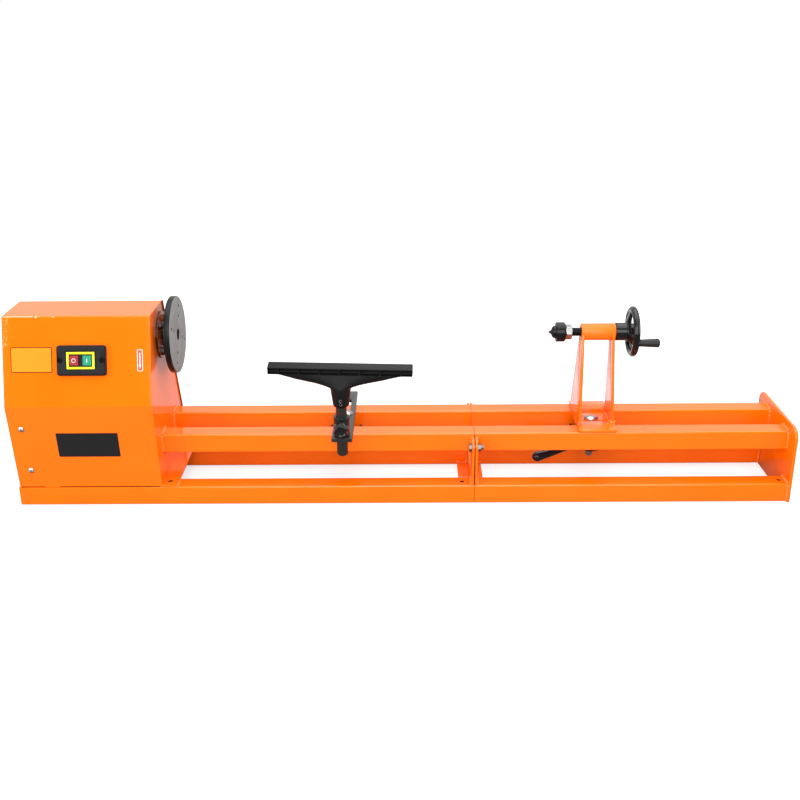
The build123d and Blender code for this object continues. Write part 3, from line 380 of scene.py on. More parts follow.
def paint_material(name, colour, rough=(0.08, 0.14), specular=0.5, edge_wear_and_sheen=1.15, marks=(), shaded_hollows=()):
    """Sprayed gloss coat with orange peel, soft edges, corners lightened for wear and sheen, marks, and dull
    hollow insides with painted shade.
    """
    material, tree, shader, peel, edge = new_surface(
        name, "peel", radius=0.0009, specular=specular, **COAT_RIPPLE
    )
    base = shades(tree, spread(tree, peel["Mottle"]), colour, dark=0.96, light=1.04)
    base = colour_mix(tree, math_node(tree, "MULTIPLY", edge, PAINT_EDGE_WEAR_AND_SHEEN), base, shade(colour, edge_wear_and_sheen))
    for low, high, mark_colour, chips in marks:
        mask = place_group(tree, "place", Low=low, High=high)["Mask"]
        if chips:
            noise = noise_node(tree, object_place(tree), scale=chips, roughness=0.6)
            mask = math_node(tree, "MULTIPLY", mask, range_node(tree, noise, low=0.56, high=0.60))
        base = colour_mix(tree, mask, base, mark_colour)
    gloss = spread(tree, peel["Mottle"], *rough)
    # Painted shade: insides of tubes and holes turn near black and dull
    for low, high in shaded_hollows:
        mask = place_group(tree, "place", Low=low, High=high)["Mask"]
        base = colour_mix(tree, mask, base, HOLLOW_SHADE)
        gloss = math_node(tree, "MAXIMUM", gloss, mask)
    give(tree, shader, Base_Color=base, Roughness=gloss)
    return material


def metal_material(name, colour, rough, stretch=(60.0, 60.0, 60.0), depth=0.00002, radius=0.0005):
    """Bare or plated metal with fine streaks and soft edges."""
    material, tree, shader, brush, edge = new_surface(
        name, "brush", radius, metallic=1.0, Stretch=stretch, Depth=depth
    )
    base = shades(tree, spread(tree, brush["Streak"]), colour, dark=0.85, light=1.08)
    base = colour_mix(tree, edge, base, shade(colour, 1.25))
    give(tree, shader, Base_Color=base, Roughness=spread(tree, brush["Streak"], *rough))
    return material


def moulded_material(name, colour, rough, scale=900.0, depth=0.00004, edge_wear_and_sheen=1.6, specular=0.35):
    """Moulded plastic, blackened steel or rough casting with its grain."""
    material, tree, shader, grain, edge = new_surface(
        name, "grain", radius=0.0006, specular=specular, Scale=scale, Depth=depth
    )
    base = shades(tree, grain["Speckle"], colour, dark=0.85, light=1.15)
    base = colour_mix(tree, math_node(tree, "MULTIPLY", edge, MOULD_EDGE_WEAR_AND_SHEEN), base, shade(colour, edge_wear_and_sheen))
    give(tree, shader, Base_Color=base, Roughness=blend(tree, grain["Speckle"], *rough))
    return material


def film_material(name, colour, rough, specular=0.35):
    """Smooth film or print of a label."""
    return moulded_material(name, colour, rough, depth=0.00001, edge_wear_and_sheen=1.0, specular=specular)


def facing(tree, axis, low):
    """Mask of the surface that faces along one of the piece's own axes."""
    normal = tree.nodes.new("ShaderNodeTexCoord").outputs["Normal"]
    return range_node(tree, split_axes(tree, normal)[axis], low, FACES_ALONG)


def faceplate_material(colours):
    """Blackened disc with a matt grey turned face."""
    material, tree, shader, rings, _ = new_surface(
        "faceplate_turned", "rings", radius=0.0007, specular=0.2, Centre=(0.0, 0.0, AXIS_Z), Pitch=0.0011,
        Depth=0.000012,
    )
    face = facing(tree, "X", low=0.6)
    grey = shades(tree, rings["Ring"], colours.face_grey, dark=0.93, light=1.05)
    give(
        tree, shader, Base_Color=colour_mix(tree, face, (0.006, 0.006, 0.007), grey),
        Roughness=blend(tree, face, 0.30, 0.52),
        Metallic=blend(tree, face, 0.0, 0.25),
    )
    return material


def flange_material(colours):
    """Painted face on the flange, with its rim and other faces near black as painted shade."""
    material, tree, shader, peel, _ = new_surface("flange_face", "peel", radius=0.0004, **COAT_RIPPLE)
    # Painted shade: the flange's rim and other faces are dark red-black
    base = colour_mix(tree, facing(tree, "X", low=0.7), (0.012, 0.003, 0.002), colours.paint)
    give(tree, shader, Base_Color=base, Roughness=spread(tree, peel["Mottle"], 0.08, 0.14))
    return material


def bar_material(colours):
    """Flat bar with a ground grey top and black sides."""
    material, tree, shader, brush, _ = new_surface(
        "rest_bar_ground", "brush", radius=0.0005, Stretch=(900.0, 40.0, 40.0), Depth=0.00002
    )
    top = facing(tree, "Z", low=0.6)
    steel = shades(tree, spread(tree, brush["Streak"]), colours.bar_steel, dark=0.8, light=1.15)
    give(
        tree, shader, Base_Color=colour_mix(tree, top, (0.012, 0.012, 0.012), steel),
        Metallic=blend(tree, top, 0.0, 0.6),
        Roughness=spread(tree, brush["Streak"], 0.34, 0.5),
    )
    return material


def screw_material(colours):
    """Zinc pan-head screws; the two screws of the switch plate are near black, the painted shade of their
    counterbores.
    """
    material, tree, shader = new_material("panel_screw_plate", specular=0.15)
    brush = place_group(tree, "brush", Stretch=(300.0, 300.0, 300.0), Depth=0.00001)
    # Painted shade: the switch plate's two screws are near black so they read as dark holes
    black = place_group(tree, "place", Low=(-0.74, 0.0, 0.2), High=(-0.60, 0.2, 0.34))["Mask"]
    plated = shades(tree, spread(tree, brush["Streak"]), colours.zinc, dark=1.4, light=1.7)
    give(
        tree, shader, Base_Color=colour_mix(tree, black, plated, (0.003, 0.003, 0.003)),
        Metallic=blend(tree, black, 1.0, 0.0),
        Roughness=spread(tree, brush["Streak"], 0.24, 0.36),
    )
    add_bump(tree, shader, brush["Height"])
    return material


def tube_hollow_shade():
    """Corners of the inside of the rails and the beams, where shade is painted."""
    wall = 0.0015
    return [
        ((-1.0, low.y + wall, low.z + wall), (1.0, high.y - wall, high.z - wall))
        for low, high in ((RAIL_LOW, RAIL_HIGH), (BEAM_LOW, BEAM_HIGH))
    ]


def bench_hole_shade():
    """Corners of the bench holes in the wall's feet, where shade is painted."""
    x, y, half = WALL_FACE + 0.011, 0.0805, 0.0048
    sunk, proud = 0.001, 0.0027
    low = (x - half, y - half, BEAM_HIGH.z - sunk)
    return [(low, (x + half, y + half, BEAM_HIGH.z + proud))]


def edge_mark(start, end, bottom, top, colour):
    """Mark (a scuff, and once a painted highlight line) on the cover's top front edge, from start to end
    along it and from bottom to top below it.
    """
    near, far, no_chips = 0.05, 0.075, 0.0
    low = (COVER_LEFT + start, near, PANEL_TOP[1] - bottom)
    return low, (COVER_LEFT + end, far, PANEL_TOP[1] - top), colour, no_chips


def cover_scuffs_and_highlight():
    """Scuffs and a painted highlight line along the cover's top front edge, and chips below its left end."""
    pale, rubbed = (0.92, 0.80, 0.60), (1.0, 0.40, 0.09)
    chip_scale, chip_width, chip_height, chip_near, chip_far = 420.0, 0.010, 0.05, 0.06, 0.09
    chip_low = (COVER_LEFT, chip_near, PANEL_TOP[1] - chip_height)
    return [
        # Painted highlight: this pale line along the bend stands in for the light it catches
        edge_mark(start=0.0, end=0.052, bottom=0.0013, top=0.0004, colour=pale),
        edge_mark(start=0.0553, end=0.0584, bottom=0.0028, top=0.0002, colour=pale),
        edge_mark(start=0.0858, end=0.0878, bottom=0.0025, top=0.0004, colour=pale),
        edge_mark(start=0.0584, end=0.0858, bottom=0.0012, top=0.0006, colour=rubbed),
        (chip_low, (COVER_LEFT + chip_width, chip_far, PANEL_TOP[1]), rubbed, chip_scale),
    ]


def painted_finishes(colours):
    """Coats of the sheet metal, the tubes, the welds and the grips."""
    paint = colours.paint
    return {
        "paint": paint_material("orange_powder_coat", paint),
        "tube_paint": paint_material("tube_powder_coat", paint, shaded_hollows=tube_hollow_shade()),
        "cover_paint": paint_material("cover_powder_coat", paint, marks=cover_scuffs_and_highlight()),
        "wall_paint": paint_material("wall_powder_coat", paint, shaded_hollows=bench_hole_shade()),
        "barrel_paint": paint_material("barrel_powder_coat", paint, rough=(0.30, 0.40), specular=0.35),
        # Painted highlight: the welds' paler orange and lighter edges stand in for glints on the beads
        "weld_paint": paint_material("weld_coat_painted_sheen", (0.98, 0.19, 0.012), rough=(0.10, 0.16), edge_wear_and_sheen=1.5),
        "black_gloss": paint_material("black_gloss_coat", colours.black_gloss, specular=0.35, edge_wear_and_sheen=3.0),
        # Dark red of the bed's joints; on the wall lip it is painted shade
        "seam": moulded_material("seam_and_lip_shade_paint", (0.30, 0.028, 0.004), (0.3, 0.4), edge_wear_and_sheen=1.2),
        "flange": flange_material(colours),
    }


def metal_finishes(colours):
    """Plated, ground, blackened and cast metal."""
    fine, along_x, along_z = (900.0, 900.0, 900.0), (900.0, 60.0, 60.0), (900.0, 900.0, 30.0)
    zinc, dull, plain = colours.zinc, (0.15, 0.148, 0.142), (0.40, 0.41, 0.40)
    black = (0.009, 0.009, 0.009)
    return {
        "zinc": metal_material("zinc_plate", zinc, (0.16, 0.26), fine, depth=0.000004, radius=0.0003),
        "dull_zinc": metal_material("dull_zinc_plate", dull, (0.28, 0.38), radius=0.0003),
        "nut_steel": metal_material("plain_nut", plain, (0.30, 0.38), depth=0.000001, radius=0.0003),
        "black_bolt": metal_material("black_oxide", (0.055, 0.05, 0.048), (0.18, 0.28), radius=0.0003),
        "post_steel": metal_material("drawn_post", (0.085, 0.082, 0.078), (0.32, 0.46), along_z),
        "bare_steel": metal_material("ground_steel", (0.5, 0.49, 0.47), (0.3, 0.48), along_x),
        "alloy": metal_material("cast_alloy", (0.55, 0.55, 0.54), (0.35, 0.5), (500.0, 500.0, 500.0)),
        "blackened": moulded_material(
            "blackened_steel", (0.006, 0.006, 0.006), (0.14, 0.22), scale=500.0, depth=0.00001, specular=0.22
        ),
        # Wear and painted highlight: grey edges on the black socket and set screws stand in for rim glints
        "socket": moulded_material("socket_steel", black, (0.14, 0.22), depth=0.00001, edge_wear_and_sheen=9.0),
        "casting": moulded_material(
            "sand_casting", colours.casting, (0.4, 0.55), scale=550.0, depth=0.00012, edge_wear_and_sheen=2.5, specular=0.18
        ),
        "rest_bar": bar_material(colours),
        "panel_screw": screw_material(colours),
        "faceplate": faceplate_material(colours),
    }


def moulded_finishes(colours):
    """Plastics, rubber, the dark strip that paints the shadow in the cover gap, and the films and prints of
    the labels.
    """
    black_label, dark, shadow = (0.012, 0.012, 0.013), (0.012, 0.005, 0.004), (0.012, 0.003, 0.002)
    return {
        "black_plastic": moulded_material("black_moulding", (0.011, 0.011, 0.012), (0.42, 0.55)),
        "switch_black": moulded_material(
            "switch_moulding", (0.007, 0.007, 0.008), (0.45, 0.6), depth=0.00003, specular=0.2
        ),
        "bezel": moulded_material("bezel_moulding", colours.bezel, (0.28, 0.36), edge_wear_and_sheen=1.1),
        "stop": moulded_material("stop_moulding", colours.stop, (0.26, 0.34), edge_wear_and_sheen=1.2),
        "start": moulded_material("start_moulding", colours.start, (0.26, 0.34), edge_wear_and_sheen=1.2),
        "rubber": moulded_material("belt_rubber", (0.02, 0.02, 0.02), (0.6, 0.75), scale=400.0),
        "gap_shade": moulded_material("painted_gap_shadow", shadow, (0.7, 0.85), edge_wear_and_sheen=1.0, specular=0.1),
        "white_print": film_material("white_print", (0.85, 0.85, 0.84), (0.4, 0.5)),
        "dark_print": film_material("dark_print", dark, (0.4, 0.5), specular=0.1),
        "amber_film": film_material("amber_film", colours.label_amber, (0.3, 0.4), specular=0.12),
        "red_film": film_material("red_film", colours.arrow_red, (0.3, 0.4)),
        "black_film": moulded_material("black_film", black_label, (0.35, 0.45), depth=0.00002, specular=0.2),
    }


NODE_FINISH = {
    "paint": (
        "left_joint_plate", "right_joint_plate", "end_plate", "headstock_side", "tailstock_base", "left_leg",
        "right_leg",
    ),
    "wall_paint": ("headstock_wall",),
    "barrel_paint": ("tailstock_barrel",),
    "cover_paint": ("headstock_cover",),
    "tube_paint": (
        "left_front_rail", "left_rear_rail", "right_front_rail", "right_rear_rail", "left_front_beam",
        "left_rear_beam", "right_front_beam", "right_rear_beam",
    ),
    "zinc": ("rest_clamp_bolt", "tail_clamp_bolt", "crank_pin"),
    "dull_zinc": ("joint_fasteners",),
    "nut_steel": ("lock_nut", "lever_cap_nut"),
    "black_bolt": ("headstock_fasteners",),
    "panel_screw": ("panel_screws",),
    "bare_steel": ("slot_guide", "spindle_bearings", "centre_bearing", "motor_shaft"),
    "rest_bar": ("banjo_bar",),
    "blackened": ("spindle", "feed_screw", "live_centre"),
    "flange": ("spindle_housing",),
    "post_steel": ("rest_post",),
    "black_gloss": (
        "handwheel", "lever_grip", "rest_clamp_plate", "tail_clamp_plate", "tail_clamp_lever", "motor_plate",
    ),
    "casting": ("tool_rest",),
    "faceplate": ("faceplate",),
    "socket": ("post_socket", "rest_set_screws"),
    "alloy": ("motor_body", "motor_pulley", "spindle_pulley"),
    "black_plastic": ("switch_body", "cable_gland", "crank_handle", "lock_knob", "rest_clamp_knob"),
    "switch_black": ("switch_plate",),
    "bezel": ("switch_bezel",),
    "stop": ("stop_button",),
    "start": ("start_button",),
    "rubber": ("drive_belt",),
}
finishes = {}


# Bends that are shaded smooth, rounded and taken as flat, and the gap within which points merge
SMOOTH_ANGLE = radians(35.0)
BEVEL_ANGLE = radians(30.0)
FLAT_ANGLE = radians(0.5)
MERGE_GAP = 0.00001


def begin():
    """Leaves edit mode and clears the selection."""
    if bpy.context.object is not None and bpy.context.object.mode == "EDIT":
        leave_edit()
    bpy.ops.object.select_all(action="DESELECT")


def take(piece):
    """Makes a piece the only selected and the active one."""
    begin()
    piece.select_set(True)
    bpy.context.view_layer.objects.active = piece


def pick_all():
    """Selects everything in edit mode."""
    bpy.ops.mesh.select_all(action="SELECT")


def edit_all():
    """Goes into edit mode with everything selected."""
    bpy.ops.object.mode_set(mode="EDIT")
    pick_all()


def leave_edit():
    """Goes back to object mode."""
    bpy.ops.object.mode_set(mode="OBJECT")


def push(step):
    """Extrudes the selection by a step."""
    bpy.ops.mesh.extrude_region_move(TRANSFORM_OT_translate={"value": step})


def pick_faces(piece, along):
    """Selects the faces of a piece in edit mode that face along one of the given directions."""
    bpy.ops.mesh.select_mode(type="FACE")
    bpy.ops.mesh.select_all(action="DESELECT")
    mesh = bmesh.from_edit_mesh(piece.data)
    for face in mesh.faces:
        face.select_set(any(face.normal.dot(direction) > FACES_ALONG for direction in along))
    bmesh.update_edit_mesh(piece.data)


def apply_modifier(piece, kind, **values):
    """Adds a modifier with its values and applies it."""
    take(piece)
    modifier = piece.modifiers.new(kind.lower(), kind)
    for key, value in values.items():
        setattr(modifier, key, value)
    bpy.ops.object.modifier_apply(modifier=modifier.name)


def settle(piece, body, finish=None):
    """Puts a piece's place into its mesh, smooths it, and gives it its finish and its body."""
    take(piece)
    bpy.ops.object.transform_apply(location=True, rotation=True, scale=True)
    bpy.ops.object.shade_smooth_by_angle(angle=SMOOTH_ANGLE)
    if finish:
        piece.data.materials.append(finishes[finish])
    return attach(piece, body)


def join(pieces, name):
    """Joins several pieces into one."""
    begin()
    for piece in pieces:
        piece.select_set(True)
    bpy.context.view_layer.objects.active = pieces[0]
    bpy.ops.object.join()
    pieces[0].name = name
    return pieces[0]


def line(name, points):
    """Open line through points, drawn from one corner point."""
    begin()
    bpy.ops.mesh.primitive_plane_add(size=0.001, location=points[0])
    piece = bpy.context.object
    piece.name = name
    bpy.ops.object.mode_set(mode="EDIT")
    bpy.ops.mesh.select_mode(type="VERT")
    pick_all()
    bpy.ops.mesh.merge(type="CENTER")
    for here, there in zip(points, points[1:]):
        step = Vector(there) - Vector(here)
        bpy.ops.mesh.extrude_vertices_move(TRANSFORM_OT_translate={"value": step})
    return piece


def slab(name, points, depth):
    """Flat piece with the outline of the points, made thick along the depth vector."""
    piece = line(name, points)
    pick_all()
    bpy.ops.mesh.edge_face_add()
    push(depth)
    pick_all()
    bpy.ops.mesh.normals_make_consistent(inside=False)
    return piece


def turned(name, profile, centre, axis, steps=36):
    """Piece turned about an axis from a profile of (distance along the axis, radius) pairs."""
    centre, axis = Vector(centre), Vector(axis)
    side = axis.orthogonal().normalized()
    piece = line(name, [centre + axis * along + side * radius for along, radius in profile])
    pick_all()
    bpy.ops.mesh.spin(steps=steps, angle=2 * pi, center=centre, axis=axis)
    pick_all()
    bpy.ops.mesh.remove_doubles(threshold=MERGE_GAP)
    bpy.ops.mesh.normals_make_consistent(inside=False)
    leave_edit()
    return piece


def thread(name, start, length, root, crest, pitch, steps=28):
    """Ridge of a thread that runs along X from a start point on its axis."""
    start = Vector(start)
    tooth = [(0.0, root), (0.15, root), (0.45, crest), (0.65, crest), (0.95, root), (1.0, root)]
    ridge = line(name, [start + Vector((share * pitch, 0.0, radius)) for share, radius in tooth])
    take(ridge)
    bpy.context.scene.cursor.location = start
    bpy.ops.object.origin_set(type="ORIGIN_CURSOR")
    apply_modifier(
        ridge, "SCREW", axis="X", angle=2 * pi, screw_offset=pitch, iterations=int(length / pitch) - 1,
        steps=steps, render_steps=steps, use_merge_vertices=True, use_normal_calculate=True,
    )
    return ridge


def softened(node, width):
    """Copy of a solid with its sharp edges rounded; it stands for the solid."""
    solid = frame["nodes"][node]
    take(solid)
    bpy.ops.object.duplicate(linked=False)
    piece = bpy.context.object
    piece.name = node + "_soft"
    del piece["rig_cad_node"]
    edit_all()
    bpy.ops.mesh.customdata_custom_splitnormals_clear()
    bpy.ops.mesh.remove_doubles(threshold=MERGE_GAP)
    bpy.ops.mesh.dissolve_limited(angle_limit=FLAT_ANGLE)
    leave_edit()
    apply_modifier(
        piece, "BEVEL", width=width, segments=2, limit_method="ANGLE", angle_limit=BEVEL_ANGLE,
        use_clamp_overlap=False, miter_outer="MITER_ARC",
    )
    body = solid["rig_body"]
    settle(piece, body)
    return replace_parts(piece, node)


def front_centre(points, outward, depth):
    """Middle of the points that lie furthest along a direction, within a depth."""
    front = max(point.dot(outward) for point in points)
    face = [point for point in points if point.dot(outward) > front - depth]
    return sum(face, Vector()) / len(face)


SOFT_EDGES = {
    "tool_rest": 0.0008,
    "post_socket": 0.0006,
    "banjo_bar": 0.0006,
    "faceplate": 0.0006,
    "end_plate": 0.0008,
    "left_joint_plate": 0.0006,
    "right_joint_plate": 0.0006,
    "left_leg": 0.0008,
    "right_leg": 0.0008,
    "tailstock_base": 0.0006,
    "tailstock_barrel": 0.0006,
    "switch_plate": 0.0006,
    "switch_bezel": 0.0004,
}


class LATHE_OT_finishes(bpy.types.Operator):
    """Gives every solid of the lathe its finish"""

    bl_idname = "lathe.finishes"
    bl_label = "Finish the solids"

    def execute(self, context):
        for maker in (painted_finishes, metal_finishes, moulded_finishes):
            finishes.update(maker(context.scene.lathe_colours))
        for key, names in NODE_FINISH.items():
            for name in names:
                mesh = frame["nodes"][name].data
                mesh.materials.clear()
                mesh.materials.append(finishes[key])
        return {"FINISHED"}


class LATHE_OT_soft_edges(bpy.types.Operator):
    """Rounds the edges of castings, plates and mouldings"""

    bl_idname = "lathe.soft_edges"
    bl_label = "Round the edges"

    def execute(self, context):
        for node, width in SOFT_EDGES.items():
            softened(node, width)
        return {"FINISHED"}


# Ripples of a bead: spacing and unevenness as shares of its width, flattening along its run
RIPPLE_SPACING = 0.42
RIPPLE_UNEVENNESS = 0.15
RIPPLE_FLATTENING = 0.25

# Distance of a bead's ends from the corners of the tubes and of the tailstock's sheets
TUBE_INSET = 0.004
SHEET_INSET = 0.001


def weld(start, end, width, seed):
    """Uneven bead of overlapping ripples from start to end."""
    start, end = Vector(start), Vector(end)
    run = end - start
    begin()
    bpy.ops.mesh.primitive_uv_sphere_add(segments=8, ring_count=5, radius=width / 2, location=start)
    bead = bpy.context.object
    edit_all()
    along = [1.0 - RIPPLE_FLATTENING * abs(value) for value in run.normalized()]
    bpy.ops.transform.resize(value=along, center_override=start)
    leave_edit()
    count = max(2, int(run.length / (width * RIPPLE_SPACING)) + 1)
    apply_modifier(
        bead, "ARRAY", count=count, use_relative_offset=False, use_constant_offset=True,
        constant_offset_displace=run / (count - 1),
    )
    edit_all()
    bpy.ops.transform.vertex_random(offset=width * RIPPLE_UNEVENNESS, seed=seed)
    leave_edit()
    return bead


class LATHE_OT_welds(bpy.types.Operator):
    """Makes the weld beads of the bed and of the tailstock"""

    bl_idname = "lathe.welds"
    bl_label = "Weld the frame"

    def execute(self, context):
        sizes = context.scene.lathe_sizes
        bed_lines = self.tube_lines() + self.joint_lines() + self.foot_lines()
        self.row("bed_welds", "bed", bed_lines, sizes)
        self.row("tailstock_welds", "tailstock", self.tailstock_lines(), sizes)
        return {"FINISHED"}

    def row(self, name, body, lines, sizes):
        """All the beads of one body as one piece."""
        beads = []
        for index, (start, end) in enumerate(lines):
            beads.append(weld(start, end, sizes.weld_width, sizes.weld_seed + index))
        settle(join(beads, name), body, "weld_paint")

    def tube_lines(self):
        """Where the tubes meet the wall and the end plate."""
        lines = []
        for node, at_wall in (
            ("left_front_rail", True), ("left_rear_rail", True), ("right_front_rail", False),
            ("right_rear_rail", False), ("right_front_beam", False), ("right_rear_beam", False),
        ):
            low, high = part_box(node)
            x = low.x if at_wall else high.x
            lines.append(((x, low.y + TUBE_INSET, high.z), (x, high.y - TUBE_INSET, high.z)))
            for y in (low.y, high.y):
                lines.append(((x, y, low.z + TUBE_INSET), (x, y, high.z - TUBE_INSET)))
        return lines

    def joint_lines(self):
        """Round the joint plates and their feet, on both sides of the bed."""
        lines = []
        beam_top, rail_end = BEAM_HIGH.z - TUBE_INSET, RAIL_HIGH.z - 2 * TUBE_INSET
        for node, side in (("left_joint_plate", -1.0), ("right_joint_plate", 1.0)):
            low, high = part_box(node)
            face = side * JOINT_FACE
            foot_end = low.x if side < 0.0 else high.x
            for flank in (-1.0, 1.0):
                inner, outer = flank * BEAM_LOW.y, flank * (BEAM_HIGH.y - TUBE_INSET)
                rail = flank * RAIL_HIGH.y
                lines.append(((face, inner, FOOT_TOP), (face, inner, beam_top)))
                lines.append(((face, inner, FOOT_TOP), (foot_end, inner, FOOT_TOP)))
                lines.append(((face, inner, BEAM_HIGH.z), (face, outer, BEAM_HIGH.z)))
                lines.append(((face, rail, RAIL_LOW.z + TUBE_INSET), (face, rail, rail_end)))
        return lines

    def foot_lines(self):
        """Across the beams at the end of the wall's foot."""
        x, top = WALL_FACE + FOOT_WIDTH, BEAM_HIGH.z
        near, far = BEAM_LOW.y + TUBE_INSET, BEAM_HIGH.y - TUBE_INSET
        return [((x, flank * near, top), (x, flank * far, top)) for flank in (-1.0, 1.0)]

    def tailstock_lines(self):
        """Along the foot of the right leg, inside and outside, down through the channel of the base."""
        base_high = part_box("tailstock_base")[1]
        leg_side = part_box("right_leg")[1].y - SHEET_INSET
        top = base_high.z
        floor = top - CHANNEL_DEPTH
        inner, outer = CHANNEL_HALF - SHEET_INSET, CHANNEL_HALF + SHEET_INSET
        lines = []
        for x in (base_high.x - SHEET, base_high.x):
            lines.append(((x, -inner, floor), (x, inner, floor)))
            for side in (-1.0, 1.0):
                lines.append(((x, side * outer, top), (x, side * leg_side, top)))
        return lines


def panel_tilt(panel):
    """Angle of a front panel about the long axis."""
    start, end = panel
    return atan2(end[1] - start[1], end[0] - start[0])


def panel_point(panel, x, along, lift=0.0):
    """Point on a front panel, a distance along it from its lower edge."""
    tilt = panel_tilt(panel)
    y = panel[0][0] + along * cos(tilt) - lift * sin(tilt)
    z = panel[0][1] + along * sin(tilt) + lift * cos(tilt)
    return Vector((x, y, z))


def panel_outward(panel, thick):
    """Step out of a front panel."""
    return panel_point(panel, 0.0, 0.0, thick) - panel_point(panel, 0.0, 0.0)


def panel_label(name, panel, across, along, corner, border, border_finish, face_finish):
    """Label with a printed border on a front panel."""
    begin()
    bpy.ops.mesh.primitive_plane_add(
        size=1.0, location=panel_point(panel, sum(across) / 2, sum(along) / 2),
        rotation=(panel_tilt(panel), 0.0, 0.0),
    )
    piece = bpy.context.object
    piece.name = name
    piece.scale = (across[1] - across[0], along[1] - along[0], 1.0)
    bpy.ops.object.transform_apply(location=True, rotation=True, scale=True)
    for key in (border_finish, face_finish):
        piece.data.materials.append(finishes[key])
    edit_all()
    bpy.ops.mesh.bevel(offset=corner, segments=4, affect="VERTICES")
    push(panel_outward(panel, bpy.context.scene.lathe_sizes.label_thick))
    bpy.ops.mesh.inset(thickness=border, depth=0.0)
    piece.active_material_index = 1
    bpy.ops.object.material_slot_assign()
    return settle(piece, "bed")


class LATHE_OT_labels(bpy.types.Operator):
    """Makes the blank plates and the arrow label on the headstock's front"""

    bl_idname = "lathe.labels"
    bl_label = "Put on the labels"

    def execute(self, context):
        panel_label(
            "amber_label", UPPER_PANEL, across=(-0.797, -0.726), along=(0.0595, 0.103), corner=0.0020,
            border=0.0013, border_finish="dark_print", face_finish="amber_film",
        )
        panel_label(
            "arrow_label", UPPER_PANEL, across=(-0.580, -0.5705), along=(0.061, 0.098), corner=0.0016,
            border=0.0009, border_finish="white_print", face_finish="red_film",
        )
        panel_label(
            "blank_plate", LOWER_PANEL, across=(-0.731, -0.623), along=(0.0615, 0.1085), corner=0.0012,
            border=0.0006, border_finish="black_film", face_finish="black_film",
        )
        self.arrow(UPPER_PANEL, x=-0.57525, along=0.0795, thick=context.scene.lathe_sizes.label_thick)
        return {"FINISHED"}

    def arrow(self, panel, x, along, thick):
        """Plain white arrow that points down."""
        half_shaft, half_head = 0.0007, 0.0019
        tail, neck, tip = 0.0130, -0.0070, -0.0140
        outline = [
            (-half_shaft, tail), (half_shaft, tail), (half_shaft, neck), (half_head, neck), (0.0, tip),
            (-half_head, neck), (-half_shaft, neck),
        ]
        points = [panel_point(panel, x + side, along + step, thick) for side, step in outline]
        piece = slab("direction_arrow", points, panel_outward(panel, thick / 2))
        settle(piece, "bed", "white_print")


class LATHE_OT_button_marks(bpy.types.Operator):
    """Makes the ring on the stop button and the bar on the start button"""

    bl_idname = "lathe.button_marks"
    bl_label = "Mark the buttons"

    def execute(self, context):
        outward = panel_outward(UPPER_PANEL, context.scene.lathe_sizes.mark_thick)
        for button, mark in (("stop_button", self.ring), ("start_button", self.bar)):
            corners = [vertex.co for vertex in frame["nodes"][button].data.vertices]
            centre = front_centre(corners, outward.normalized(), depth=0.0001)
            settle(mark(centre, panel_tilt(UPPER_PANEL), outward), button, "white_print")
        return {"FINISHED"}

    def ring(self, centre, tilt, outward):
        """Flat ring on the stop button."""
        begin()
        bpy.ops.mesh.primitive_circle_add(
            vertices=40, radius=0.0036, fill_type="NGON", location=centre, rotation=(tilt, 0.0, 0.0)
        )
        piece = bpy.context.object
        piece.name = "stop_mark"
        edit_all()
        bpy.ops.mesh.inset(thickness=0.0008, depth=0.0)
        bpy.ops.mesh.delete(type="FACE")
        pick_all()
        push(outward)
        return piece

    def bar(self, centre, tilt, outward):
        """Flat upright bar on the start button."""
        half, tall = 0.0007, 0.0032
        along = Vector((0.0, cos(tilt), sin(tilt)))
        sides = ((-half, -tall), (half, -tall), (half, tall), (-half, tall))
        points = [centre + Vector((side, 0.0, 0.0)) + along * step for side, step in sides]
        return slab("start_mark", points, outward)


class LATHE_OT_feed_screw(bpy.types.Operator):
    """Cuts the thread of the feed screw"""

    bl_idname = "lathe.feed_screw"
    bl_label = "Cut the feed screw"

    def execute(self, context):
        sizes = context.scene.lathe_sizes
        low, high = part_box("feed_screw")
        length = high.x - low.x
        crest = (high.z - low.z) / 2
        root = crest - sizes.thread_depth
        core_gap, end_inset, end_rise = 0.0001, 0.0008, 0.0006
        ridge = thread("feed_screw_thread", (low.x, 0.0, AXIS_Z), length, root, crest, sizes.thread_pitch)
        begin()
        bpy.ops.mesh.primitive_cylinder_add(
            vertices=40, radius=root - core_gap, depth=length, rotation=(0.0, pi / 2, 0.0),
            location=((low.x + high.x) / 2, 0.0, AXIS_Z),
        )
        core = bpy.context.object
        bpy.ops.object.mode_set(mode="EDIT")
        own_axis = Vector((0.0, 0.0, 1.0))
        pick_faces(core, (own_axis, -own_axis))
        bpy.ops.mesh.inset(thickness=end_inset, depth=end_rise)
        leave_edit()
        piece = settle(join([ridge, core], "feed_screw_cut"), "screw", "blackened")
        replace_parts(piece, "feed_screw")
        return {"FINISHED"}


# Radius of a lobe and of the grip between the lobes as shares of its diameter, and points for each lobe
LOBE_SHARE = 0.15
CORE_SHARE = 0.40
LOBE_POINTS = 14
ROUNDING_ANGLES = (0.0, 25.0, 50.0, 72.0, 90.0)


